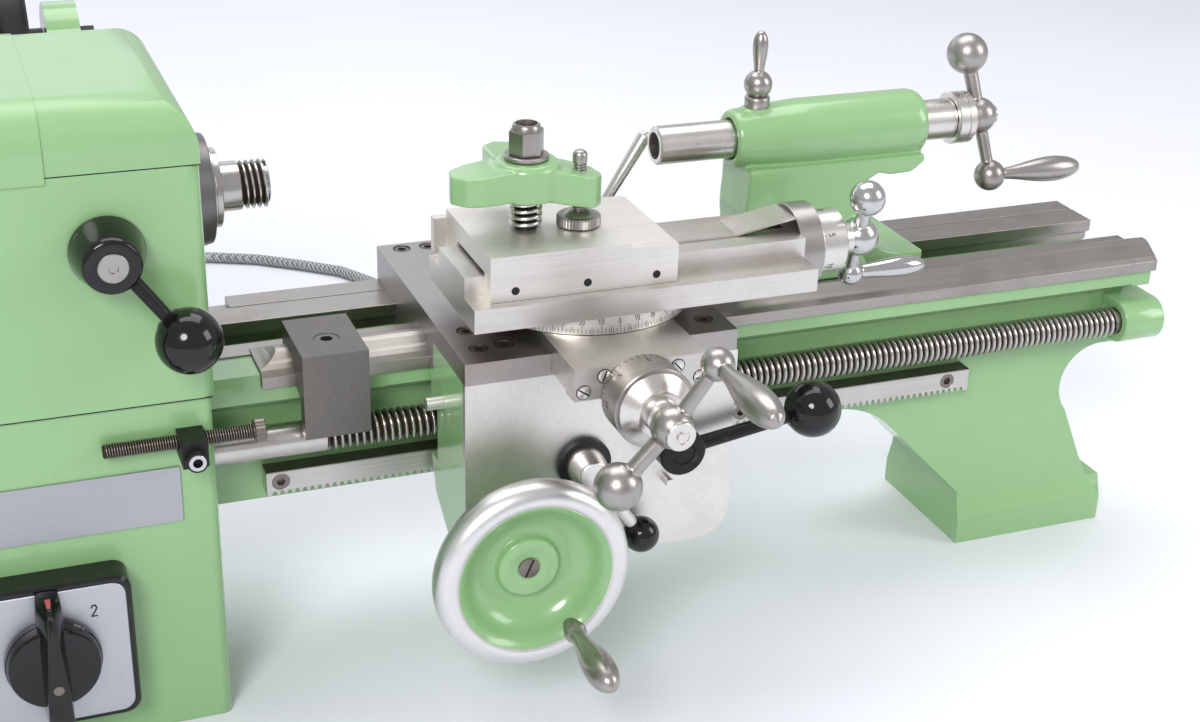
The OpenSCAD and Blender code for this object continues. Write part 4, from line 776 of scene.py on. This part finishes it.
# Handwheel on the apron
def add_handwheel():
    rim_ahead, rim_r = 4.2, 34.3
    half_deep, half_tall = 7.0, 6.2
    section = [(rim_ahead + half_deep * math.cos(a), rim_r + half_tall * math.sin(a)) for a in around(32)]
    rim = Shape().ring_of(WHEEL, -Y, section, 112)
    make_piece("wheel_rim", rim, "polished", "handwheel", ["handwheel"])
    dish = Shape().turned(WHEEL, -Y, [
        (-18, 11.0), (-17.4, 11.5), (-8.0, 12.6), (-7.0, 15.5), (-5.6, 26.0), (-1.0, 31.0), (8.0, 33.0),
        (10.3, 32.0), (10.65, 31.4), (9.3, 29.5), (7.4, 28.2), (4.9, 27.2), (2.4, 25.9), (0.2, 23.8),
        (-1.6, 20.9), (-2.5, 17.6), (-2.5, 14.9), (-2.1, 13.4), (-1.5, 12.9), (0.7, 12.7), (1.2, 12.3),
        (1.4, 11.6), (1.3, 5.0), (1.0, 4.6), (1.0, 0)], 112)
    make_piece("wheel_dish", dish, "enamel", "handwheel", sharp=60)
    screw = Shape().turned(WHEEL, -Y, [(1.0, 4.3), (1.7, 4.3), (1.9, 4.0), (1.9, 0)], 48)
    make_piece("wheel_screw", screw, "screw_head", "handwheel")
    # dark bar across the screw head: painted shade in its slot
    slot = Shape().box(WHEEL + Vector((-4.0, -2.0, -0.45)), WHEEL + Vector((4.0, -1.7, 0.45)))
    slot_turn = Matrix.Rotation(math.radians(-66), 3, "Y")
    slot.points = [WHEEL + slot_turn @ (p - WHEEL) for p in slot.points]
    make_piece("wheel_screw_slot_painted_shade", slot, "mark", "handwheel")
    handle_at, handle_turn = 31.4, math.radians(-59)
    foot = WHEEL + Vector((handle_at * math.cos(handle_turn), -7.6, handle_at * math.sin(handle_turn)))
    collar = [(-1.0, 4.0), (1.4, 4.2), (3.4, 4.5), (5.2, 4.5), (6.2, 3.9)]
    grip = [(6.2 + d, r) for d, r in handle_profile(38.8, 3.2, 6.4)[1:]]
    make_piece("wheel_handle", Shape().turned(foot, -Y, collar + grip, 48), "patina", "handwheel", sharp=60)


# Levers with balls
def rod_and_ball(prefix, body, surface, start, ball_at, ball_r, rod_r, inside):
    """Tapered rod from start into a plastic ball, which is flat where the rod enters.

    The radii of the rod are those at start and at the ball, and inside is the distance
    of the rod's end from the centre of the ball.
    """
    start, ball_at = Vector(start), Vector(ball_at)
    ahead = (ball_at - start).normalized()
    rod = Shape().bar(start, ball_at - ahead * inside, *rod_r)
    make_piece(prefix + "_rod", rod, surface, body)
    steps = 30
    angles = [math.pi * (0.14 + 0.86 * i / steps) for i in range(steps + 1)]
    profile = [(-ball_r * math.cos(a), ball_r * math.sin(a)) for a in angles]
    seat = (profile[0][0] - 0.8, profile[0][1] - 1.0)
    ball = Shape().turned(ball_at, ahead, [seat] + profile, 48)
    make_piece(prefix + "_ball", ball, "black", body, sharp=60)


def add_gear_lever():
    hub = Vector((64.2, -61.3, 211.0))
    cone = Shape().turned(hub, -Y, [
        (-11, 5.0), (-0.2, 5.0), (0, 13.6), (0.5, 14.0), (2.0, 14.0), (14.8, 11.0), (16.4, 10.4),
        (17.0, 9.8), (17.2, 9.0), (17.2, 6.2)], 72)
    make_piece("gear_lever_cone", cone, "black", "gear_lever", ["gear_lever"])
    disc = Shape().turned(hub, -Y, [
        (17.0, 5.6), (17.9, 5.6), (18.2, 5.3), (18.2, 1.9), (17.6, 1.7), (17.6, 0)], 56)
    make_piece("gear_lever_disc", disc, "patina", "gear_lever")
    pin = Shape().turned(hub + Vector((-9.6, -4.5, 7.4)), (-0.6, -0.62, 0.5), [
        (-1.0, 2.2), (0.6, 2.2), (0.8, 1.8), (0.8, 0)], 28)
    make_piece("gear_lever_pin", pin, "screw_head", "gear_lever")
    rod_and_ball("gear_lever", "gear_lever", "black_lever", (69.2, -72, 206), (88.5, -82.0, 181.0), 12.5,
                 (2.8, 2.5), 9)


def add_half_nut_lever():
    x, z = 279.4, 114.0
    pin_from_axis, pin_turn = 8, math.radians(195)
    hub = Shape().turned((x, -68, z), -Y, [
        (0, 10.5), (4, 10.5), (4.2, 5.0), (23.8, 5.0), (24.0, 9.6), (24.4, 10.0), (34.8, 10.0), (35.6, 9.4),
        (35.8, 8.8), (35.8, 5.0), (35.4, 4.8), (35.4, 0)], 64)
    pin_x, pin_z = x + pin_from_axis * math.cos(pin_turn), z + pin_from_axis * math.sin(pin_turn)
    hub.turned((pin_x, -60, pin_z), -Y, [(0, 2.0), (9, 2.0)], 24)
    make_piece("half_nut_hub", hub, "black_lever", "half_nut_lever", ["half_nut_lever"])
    rod_and_ball("half_nut", "half_nut_lever", "black_lever", (x + 4, -99, z + 0.6), (339.0, -100.0, 123.7),
                 12.0, (3.1, 2.8), 9)


def add_feed_lever():
    x, z = 240.0, 111.0
    flange = Shape().turned((x, -92.0, z), -Y, [
        (-14, 4.0), (0.0, 4.0), (0.1, 10.8), (0.5, 11.3), (2.6, 11.3), (3.1, 10.8), (3.3, 10.0),
        (3.3, 8.6)], 64)
    make_piece("feed_flange", flange, "dark_steel", "feed_lever", ["feed_lever"])
    hub = Shape().turned((x, -95.0, z), -Y, [
        (0, 8.5), (9.8, 6.8), (10.6, 6.5), (11.0, 6.0), (11.0, 0)], 56)
    make_piece("feed_hub", hub, "turned", "feed_lever")
    rod_and_ball("feed", "feed_lever", "turned", (x + 2, -102, z - 3), (262.6, -102.0, 78.8), 7.6,
                 (2.8, 2.4), 5)


def add_lock_levers():
    bar = Shape().turned((290, 30, 155), Z, [
        (0, 3.4), (0.6, 4.0), (6.2, 4.0), (6.3, 6.2), (6.7, 6.5), (13.4, 6.5), (14.0, 6.0), (14.2, 0)], 48)
    foot, tip = Vector((290, 30, 167)), Vector((313.1, 30, 203.9))
    along = tip - foot
    reach = along.length
    bar.turned(foot, along, [
        (0, 2.2), (reach * 0.3, 2.5), (reach, 3.3), (reach + 1.4, 3.1), (reach + 2.6, 2.0),
        (reach + 3.0, 0)], 32)
    make_piece("saddle_lock", bar, "turned", "saddle_lock_lever", ["saddle_lock_lever"])
    ball_z, ball_r = 14.4, 6.3
    collar = [(0, 3.0), (3.6, 3.0), (3.7, 5.4), (4.0, 5.6), (8.6, 5.6), (9.2, 5.2), (9.4, 3.6), (9.6, 3.5)]
    angles = [math.radians(a) for a in range(36, 160, 12)]
    ball = [(ball_z - ball_r * math.cos(a), ball_r * math.sin(a)) for a in angles]
    grip = [(18.5 + d, r) for d, r in handle_profile(20, 2.2, 3.4)[4:]]
    handle = Shape().turned((354, 0, 219.5), Z, collar + ball + [(20.6, 2.2)] + grip, 48)
    make_piece("quill_lock", handle, "patina", "quill_lock", ["quill_lock_lever"], sharp=50)


# Threaded pieces
def add_leadscrew():
    start, end = 145.3, 529.0
    screw = Shape().turned(moved(LEADSCREW, x=-84), X, [
        (0, 6.6), (0.4, 7.0), (start + 83.8, 7.0), (start + 84.4, 5.2)], 48)
    thread(screw, moved(LEADSCREW, x=start), X, end - start, 5.3, 7.0, 3.0, 40)
    screw.turned(moved(LEADSCREW, x=end - 0.2), X, [(0, 5.3), (0.2, 6.0), (23.2, 6.0), (23.7, 5.5)], 48)
    gear(screw, moved(LEADSCREW, x=GEARS_X), SCREW_TEETH, 8.0, leadscrew_gear_phase())
    make_piece("leadscrew_turned", screw, "screw_thread", "leadscrew", ["leadscrew"], sharp=50)


def leadscrew_gear_phase():
    """Phase of the leadscrew's gear, from the same rule of meshing teeth as the part's."""
    dy, dz = LEADSCREW.y - SPINDLE.y, LEADSCREW.z - SPINDLE.z
    length = math.hypot(dy, dz)
    reach_a = (SPINDLE_TEETH + IDLER_TEETH) / 2
    reach_b = (IDLER_TEETH + SCREW_TEETH) / 2
    along = (reach_a ** 2 - reach_b ** 2 + length ** 2) / (2 * length)
    side = math.sqrt(reach_a ** 2 - along ** 2)
    idler_y = (dy * along - dz * side) / length
    idler_z = (dz * along + dy * side) / length
    first = math.degrees(math.atan2(idler_z, idler_y))
    second = math.degrees(math.atan2(dz - idler_z, dy - idler_y))
    idler = first + 180 + (SPINDLE_TEETH * first - 180) / IDLER_TEETH
    return second + 180 - (IDLER_TEETH * (idler - second) + 180) / SCREW_TEETH


def add_spindle():
    shaft = Shape().turned(moved(SPINDLE, x=-96), X, [
        (0, 9.6), (0.4, 10), (30, 10), (30.2, 15), (196.3, 15)], 64)
    gear(shaft, moved(SPINDLE, x=GEARS_X), SPINDLE_TEETH, 8.0, 0.0)
    make_piece("spindle_turned", shaft, "turned", "spindle", ["spindle"], sharp=40)
    flange = Shape().turned(moved(SPINDLE, x=100.3), X, [
        (0, 23.6), (0.4, 24.0), (3.0, 23.6), (3.3, 23.2), (3.7, 23.2), (4.0, 23.5), (10.3, 22.1),
        (10.7, 21.6), (10.7, 14.0)], 96)
    make_piece("spindle_flange", flange, "flange", "spindle", sharp=30)
    nose = Shape().turned(moved(SPINDLE, x=111.0), X, [
        (0, 17.0), (1.3, 17.0), (1.6, 16.6), (1.7, 16.0), (3.7, 16.0), (4.0, 15.6), (4.0, 10.0),
        (12.2, 10.0), (12.3, 8.1)], 96)
    nose.ring_of(moved(SPINDLE, x=135.0), X, [
        (-1.4, 5.1), (-1.4, 8.1), (-0.1, 8.1), (0.2, 7.8), (0.2, 5.9), (-0.3, 5.1)])
    make_piece("spindle_nose", nose, "nose", "spindle", sharp=40)
    screw = thread(Shape(), moved(SPINDLE, x=123.2), X, 11.6, 8.1, 9.9, 2.5, 48)
    make_piece("spindle_thread", screw, "nose_thread", "spindle", sharp=40)
    # dark disc that stands in for the bore: painted shade in the hole
    bore = Shape().turned(moved(SPINDLE, x=134.3), X, [(0, 5.2), (0.25, 5.2)], 48)
    make_piece("spindle_bore_painted_shade", bore, "mark", "spindle")


def add_stop_rod():
    rod = Shape().turned(moved(STOP_ROD, x=55.5), X, [(0, 2.2), (0.5, 2.6), (1.0, 2.6)], 32)
    thread(rod, moved(STOP_ROD, x=55.9), X, 57.2, 2.5, 3.0, 1.0, 28)
    make_piece("stop_rod_thread", rod, "rod_thread", "stop_rod", ["stop_rod"], sharp=50)
    head = Shape().turned(moved(STOP_ROD, x=113.0), X, [
        (0, 4.2), (0.4, 4.6), (4.1, 4.6), (4.5, 4.2)], 40, notch=0.25)
    make_piece("stop_rod_head", head, "screw_head", "stop_rod", sharp=20)
    low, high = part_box("stop_rod_block")
    screw_at = Vector(((low[0] + high[0]) / 2 / MM, low[1] / MM + 4.5, 128.7))
    cap = Shape().ring_of(screw_at, -Y, [
        (0.1, 3.3), (0.1, 3.56), (4.3, 3.56), (4.62, 3.25), (4.62, 1.9), (4.4, 1.8)], 40)
    make_piece("stop_rod_screw", cap, "chrome", "base", sharp=30)


# Tool clamp on the top slide: stud, nut, arms, jack screw and spring
def add_clamp():
    stud = Shape().turned(moved(STUD, z=193), Z, [(0, 4.2), (0.4, 4.5), (36, 4.5)], 36)
    thread(stud, moved(STUD, z=229), Z, 12.0, 3.8, 4.48, 1.25, 32)
    make_piece("clamp_stud", stud, "dark_steel", "top_slide", ["tool_stud"], sharp=50)
    arms = Shape().turned(STUD, Z, [
        (213.6, 13.2), (214.2, 13.8), (226.6, 13.8), (228.4, 12.4), (228.8, 11.4)], 56)
    arm_block(arms, (203, -59), 9, (215.2, 226.8), (STUD.x - 6, STUD.y), (214.7, 227.3))
    arm_block(arms, (JACK.x, JACK.y), 9, (208.2, 221.3), (STUD.x + 6, STUD.y), (213.7, 226.8))
    arm_block(arms, (225.5, -27), 7, (214.7, 225.8), (STUD.x, STUD.y + 4), (213.7, 227.3))
    fuse(make_piece("clamp_arms", arms, "enamel", "tool_clamp", ["tool_clamp"]), 0.5, 16)
    nut = Shape().turned(moved(STUD, z=229.2), Z, [(0, 8.6), (0.3, 9.0), (1.5, 9.0), (1.8, 8.6)], 48)
    nut.turned(STUD, Z, [(231, 6.9), (231.3, 7.22), (240.4, 7.22), (241.2, 6.5)], 6, first=90)
    nut.ring_of(moved(STUD, z=241), Z, [
        (-0.4, 4.0), (-0.4, 5.9), (0.9, 5.7), (1.9, 5.3), (2.3, 4.9), (2.3, 4.3)], 48)
    make_piece("clamp_nut_hex", nut, "patina", "clamp_nut", ["clamp_nut"], sharp=25)
    # dark disc on top of the nut: painted shade in its well
    well = Shape().turned(moved(STUD, z=241.6), Z, [(0, 4.3), (0.12, 4.3), (0.12, 0)], 40)
    make_piece("clamp_nut_well_painted_shade", well, "mark", "clamp_nut")
    jack = Shape().turned(moved(JACK, z=200.2), Z, [(4.2, 6.4), (4.4, 6.2), (6.1, 4.2), (6.3, 2.7)], 48)
    thread(jack, moved(JACK, z=206), Z, 22.0, 2.2, 2.85, 1.1, 28)
    jack.turned(moved(JACK, z=226.4), Z, [
        (0, 2.2), (0.3, 2.95), (3.2, 2.95), (4.3, 2.4), (4.9, 1.3), (5.0, 0)], 32)
    make_piece("jack_thread", jack, "patina", "jack_screw", ["clamp_jack_screw"], sharp=50)
    knurl = Shape().turned(JACK, Z, [(200.2, 8.4), (200.7, 9.0), (203.9, 9.0), (204.5, 8.4)], 84,
                           notch=0.3, first=90)
    make_piece("jack_knurl", knurl, "patina", "jack_screw", sharp=20)
    add_clamp_spring()


def add_clamp_spring():
    wire_r, mid_r = 0.8, 6.0
    low, rise = 201.0, 11.0
    turns, steps = 4, 28
    rings = []
    for i in range(turns * steps + 1):
        a = 2 * math.pi * i / steps
        out = Vector((math.cos(a), math.sin(a), 0))
        centre = moved(STUD, z=low + rise * i / (turns * steps)) + out * mid_r
        rings.append([centre + out * wire_r * math.cos(b) + Z * wire_r * math.sin(b) for b in around(12)])
    make_piece("clamp_spring_wire", Shape().rings(rings), "turned", "top_slide", ["clamp_spring"], sharp=60)


def arm_block(shape, end, end_r, end_z, root, root_z, root_r=11, steps=8):
    """Tapered arm between two upright discs of different height, as a closed skin of their outline."""
    end, root = Vector(end), Vector(root)
    between = (end - root).length
    along = (end - root).to_3d().normalized()
    side = Vector((-along.y, along.x, 0))
    rings = []
    for share in (i / steps for i in range(steps + 1)):
        reach = (between + end_r) * share
        half = root_r + (end_r - root_r) * share
        if reach > between:
            half = math.sqrt(max(end_r ** 2 - (reach - between) ** 2, 0.4))
        low, high = (a + (b - a) * share for a, b in zip(root_z, end_z))
        middle = root.to_3d() + along * reach
        left, right = middle - side * half, middle + side * half
        rings.append([moved(left, z=low), moved(right, z=low), moved(right, z=high), moved(left, z=high)])
    shape.rings(rings)


# Tailstock: overlapping forms melted into one casting with soft fillets
def add_tailstock():
    cast = Shape().ring_of(moved(SPINDLE, x=341), X, [
        (0, 9.2), (0, 11.6), (1.2, 12.8), (16, 14.2), (34, 15.5), (90.0, 15.5), (93.6, 14.4), (95.4, 12.0),
        (95.4, 9.2)], 72)
    web = [(351, 148), (346.5, 160), (345, 176), (346, 199), (434, 199), (434, 195.5), (428, 191),
           (417, 190.5), (411, 192), (404.5, 188.5), (400.5, 181), (402.5, 172), (408, 161), (417, 154),
           (430, 150.5), (437, 148)]
    cast.rings([[Vector((x, y, z)) for x, z in web] for y in (-14.9, 14.9)])
    cast.box((351, -15.2, 145.3), (438, 40.8, 151.9))
    cast.box((364, -8, 139), (438, 8, 147))
    # The foot runs down to the front in two steps; each row gives both ends in X, then Y and the top
    foot = [(351, 401.5, -32.8, 152.2), (352, 400.5, -25, 157.5), (352.5, 400, -14, 176)]
    for near, far in zip(foot, foot[1:]):
        corners = []
        for x0, x1, y, top in (near, far):
            corners += [(x0, y, 150.6), (x1, y, 150.6), (x1, y, top), (x0, y, top)]
        cast.add(corners, BOX_FACES)
    cast.turned((354, 0, 218.8), Z, [(0, 6.4), (5.2, 6.4)], 40)
    fuse(make_piece("tailstock_cast", cast, "enamel", "tailstock", ["tailstock_casting"]), 0.62, 22)


# Scale of the swivelling top slide
def add_swivel_scale():
    marks = Shape()
    for degree in range(-60, 61):
        if degree % 2 and degree % 5:
            continue
        arc = math.radians(degree) * SWIVEL_R
        reach = 3.2 if degree % 10 == 0 else 2.4 if degree % 5 == 0 else 1.6
        ribbon(marks, [(arc, 0.5), (arc, 0.5 + reach)], 0.22, place_swivel)
        if degree % 10 == 0:
            number(marks, str(abs(degree)), (arc, 3.9), 2.0, 0.3, place_swivel)
    make_piece("swivel_marks", marks, "scale_mark", "swivel")


def place_swivel(arc, along):
    """Point on the tapered edge of the swivel disc; arc length 0 faces the front."""
    radius = SWIVEL_R + 0.55 - 1.8 * along / 6.3
    a = arc / SWIVEL_R - math.pi / 2
    return SWIVEL + Vector((radius * math.cos(a), radius * math.sin(a), along))


# Switch on the cabinet
def square_ring(centre, straight, corner_r):
    """Ring of a square with rounded corners in the plane of X and Z; straight is half its straight side."""
    ring = []
    for corner in range(4):
        middle = math.radians(90 * corner + 45)
        for step in range(7):
            a = math.radians(90 * corner + 15 * step)
            ring.append(centre + Vector((
                straight * math.copysign(1, math.cos(middle)) + corner_r * math.cos(a), 0,
                straight * math.copysign(1, math.sin(middle)) + corner_r * math.sin(a))))
    return ring[::-1]


def add_switch():
    plate_half, plate_r = 24, 6
    rings = [square_ring(SWITCH + Y * depth, plate_half + grow, plate_r)
             for depth, grow in ((0.0, 1.0), (1.2, 1.8), (13.4, 1.8), (13.7, 1.6))]
    make_piece("switch_frame", Shape().rings(rings), "black_satin", "base", ["switch_plate"], sharp=30)
    rings = [square_ring(SWITCH - Y * ahead, plate_half, plate_r - inset)
             for ahead, inset in ((0.1, 0.6), (0.35, 0.9))]
    make_piece("switch_plate_face", Shape().rings(rings), "plate", "base", sharp=30)
    numeral = Shape()
    number(numeral, "2", (17.2, 16.2), 4.8, 0.62, lambda x, z: SWITCH + Vector((x, -0.4, z)))
    make_piece("switch_numeral", numeral, "mark", "base")
    disc = Shape().turned(SWITCH, -Y, [
        (-20, 4.0), (0.25, 4.0), (0.35, 18.3), (0.9, 18.5), (3.4, 18.3), (3.8, 17.9), (7.0, 17.6),
        (8.2, 17.0), (8.7, 15.8), (8.7, 4.0)], 72)
    make_piece("switch_disc", disc, "black", "switch_knob", ["switch_knob"])
    # The grip from top to bottom: height, half width at its foot, half width of its ridge, reach forwards
    grip = [(31.0, 3.4, 2.2, 2.0), (30.2, 4.2, 1.9, 5.0), (27.6, 4.7, 1.2, 10.6), (26.4, 4.9, 1.1, 12.4),
            (24.0, 5.0, 1.2, 13.4), (14.0, 5.2, 2.0, 15.6), (2.0, 5.3, 3.1, 16.8), (-10.0, 5.4, 4.0, 17.0),
            (-20.0, 5.4, 4.3, 16.0), (-26.0, 5.0, 3.9, 13.0), (-28.5, 4.0, 3.0, 8.0)]
    rings = []
    for height, foot, ridge, reach in grip:
        half = [(foot, 0.8), (foot * 0.98, reach * 0.45), (ridge * 1.1, reach - 0.7), (ridge * 0.6, reach)]
        outline = [(-x, y) for x, y in half] + half[::-1]
        rings.append([SWITCH + Vector((x, -y, height)) for x, y in outline])
    make_piece("switch_grip", Shape().rings(rings), "black", "switch_knob", sharp=40, rounding=0.5)
    screw = Shape().turned(SWITCH - Z * 4, -Y, [(16.0, 2.0), (17.15, 2.0), (17.25, 1.6), (17.25, 0)], 32)
    make_piece("switch_grip_screw", screw, "screw_head", "switch_knob")
    low_corner, high_corner = (0.6, 9.6, 28.4), (1.1, 5.8, 30.3)
    pointer = Shape().add([SWITCH + Vector((x * side, -y, z)) for side, (x, y, z) in (
        (-1, high_corner), (1, high_corner), (1, low_corner), (-1, low_corner))], [(0, 1, 2, 3)])
    make_piece("switch_pointer", pointer, "red_mark", "switch_knob")


def add_screw_rings():
    """Dark seams round the screws on saddle, cross slide and top slide, and painted shade in their slots and
    sockets.
    """
    seams = Shape()
    for x, y in ((200.2, 34.7), (212.1, 34.5), (200.5, -60.3), (200.1, -78.1), (211, -77.2), (296.8, -78.3)):
        seams.ring_of((x, y, 160.96), Z, [(0, 3.55), (0, 3.95), (0.12, 3.95), (0.12, 3.55)], 40)
    make_piece("saddle_seams", seams, "mark", "saddle")
    plate_seams_and_slot_shade = Shape()
    heads = Shape()
    slot_half, slot_half_wide = 2.3, 0.32
    # The end plate's screws: X, Z and the angle of the slot
    for x, z, angle in ((229.8, 155.1, -35), (238.2, 160.9, 70), (268.6, 160.9, -50), (278.4, 155.0, 20)):
        plate_seams_and_slot_shade.ring_of((x, -117.0, z), -Y, [(-0.1, 2.65), (-0.1, 3.05), (0.1, 3.05), (0.1, 2.65)], 36)
        heads.turned((x, -116.9, z), -Y, [(0, 2.6), (0.35, 2.55), (0.5, 2.2), (0.5, 0)], 36)
        turn = math.radians(angle)
        along = Vector((math.cos(turn), 0, math.sin(turn))) * slot_half
        side = Vector((-math.sin(turn), 0, math.cos(turn))) * slot_half_wide
        # dark bar on each screw head: painted shade in its slot
        plate_seams_and_slot_shade.rings([
            [Vector((x, y, z)) + along * a + side * b for a, b in ((-1, -1), (1, -1), (1, 1), (-1, 1))]
            for y in (-117.3, -117.48)])
    make_piece("end_plate_seams_and_slot_shade", plate_seams_and_slot_shade, "mark", "cross_slide")
    make_piece("end_plate_screws", heads, "turned", "cross_slide", sharp=30)
    # dark discs on the top slide: painted shade in the sockets of the gib screws
    sockets = Shape()
    for x in (213.7, 243.6, 272.9):
        sockets.turned((x, -82.7, 185.5), -Y, [(0, 1.7), (0.34, 1.7)], 28)
    make_piece("gib_screw_sockets_painted_shade", sockets, "mark", "top_slide")


def add_seams():
    """Dark joints between cabinet, headstock and lid."""
    seams = Shape()
    for z, x0, x1 in ((147.0, -63.9, 98.4), (240.7, 45.2, 99.9)):
        seams.box((x0, -61.05, z - 0.22), (x1, -60.65, z + 0.22))
    make_piece("casting_seams", seams, "mark", "base")


def add_coil_tie():
    """Black band that holds the coil of spare cable together."""
    middle = COIL_CENTRE + Vector((-37.0, 0, 10.4))
    half_wide, half_tall, squareness = 8.2, 10.3, 0.55
    rings = []
    for along in (-4.0, 4.0):
        ring = []
        for a in around(28):
            c, s = math.cos(a), math.sin(a)
            ring.append(middle + Vector((
                half_wide * math.copysign(abs(c) ** squareness, c), along,
                half_tall * math.copysign(abs(s) ** squareness, s))))
        rings.append(ring)
    make_piece("coil_tie", Shape().rings(rings, caps=False), "black_satin", "base", sharp=60)


def add_cable():
    points = CABLE_ROUTE + coil_points() + PLUG_LEAD
    curve = bpy.data.curves.new("mains_lead", "CURVE")
    curve.dimensions = "3D"
    curve.bevel_depth = CABLE_R * MM
    curve.bevel_resolution = 5
    curve.use_fill_caps = True
    spline = curve.splines.new("POLY")
    spline.points.add(len(points) - 1)
    for target, (x, y, z) in zip(spline.points, points):
        target.co = (x * MM, y * MM, z * MM, 1.0)
    curve.materials.append(MATERIALS["braid"])
    lead = add_to_scene("mains_lead", curve)
    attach(lead, "base")
    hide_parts("mains_cable", "cable_coil")
    length = sum((Vector(a) - Vector(b)).length for a, b in zip(points, points[1:])) * MM


# Light, floor and background
def add_floor(reach=6.0):
    mesh = bpy.data.meshes.new("floor")
    corners = [(-reach, -reach, 0), (reach, -reach, 0), (reach, reach, 0), (-reach, reach, 0)]
    mesh.from_pydata(corners, [], [(0, 1, 2, 3)])
    mesh.materials.append(MATERIALS["floor"])
    floor = add_to_scene("floor", mesh)


def add_light(name, place, target, size, power, round_lamp=False, tint=(1.0, 1.0, 1.0)):
    data = bpy.data.lights.new(name, "AREA")
    data.color = tint
    data.energy = power
    data.shape = "DISK" if round_lamp else "RECTANGLE"
    data.size = size[0]
    data.size_y = size[1]
    light = add_to_scene(name, data)
    light.location = place
    ahead = (Vector(target) - Vector(place)).normalized()
    light.rotation_euler = ahead.to_track_quat("-Z", "Y").to_euler()


def add_world():
    world = bpy.data.worlds.new("studio")
    bpy.context.scene.world = world
    world.use_nodes = True
    tree = world.node_tree
    tree.nodes.clear()
    output = tree.nodes.new("ShaderNodeOutputWorld")
    soft = tree.nodes.new("ShaderNodeBackground")
    soft.inputs["Color"].default_value = (0.97, 0.975, 1.0, 1.0)
    soft.inputs["Strength"].default_value = 0.58
    tree.links.new(soft.outputs[0], output.inputs["Surface"])


add_floor()
add_world()
add_light("key", (-0.7, -1.5, 1.35), (0.25, 0.0, 0.12), (0.75, 0.75), 25.0, round_lamp=True)
add_light("top", (0.35, 0.45, 1.6), (0.25, 0.0, 0.1), (1.5, 1.0), 14.0)
add_light("right", (1.7, -0.9, 0.9), (0.3, 0.0, 0.15), (0.7, 0.9), 9.0)
add_light("back", (-0.1, 1.5, 0.85), (-0.02, 0.0, 0.27), (1.6, 0.8), 3.0, tint=(0.85, 0.92, 1.0))

add_cable()
add_coil_tie()
add_leadscrew()
add_spindle()
add_stop_rod()
add_handwheel()
add_cross_crank()
add_top_crank()
add_tail_crank()
add_gear_lever()
add_half_nut_lever()
add_feed_lever()
add_lock_levers()
add_clamp()
add_tailstock()
add_swivel_scale()
add_screw_rings()
add_seams()
add_switch()

bpy.context.scene.view_settings.view_transform = "Standard"
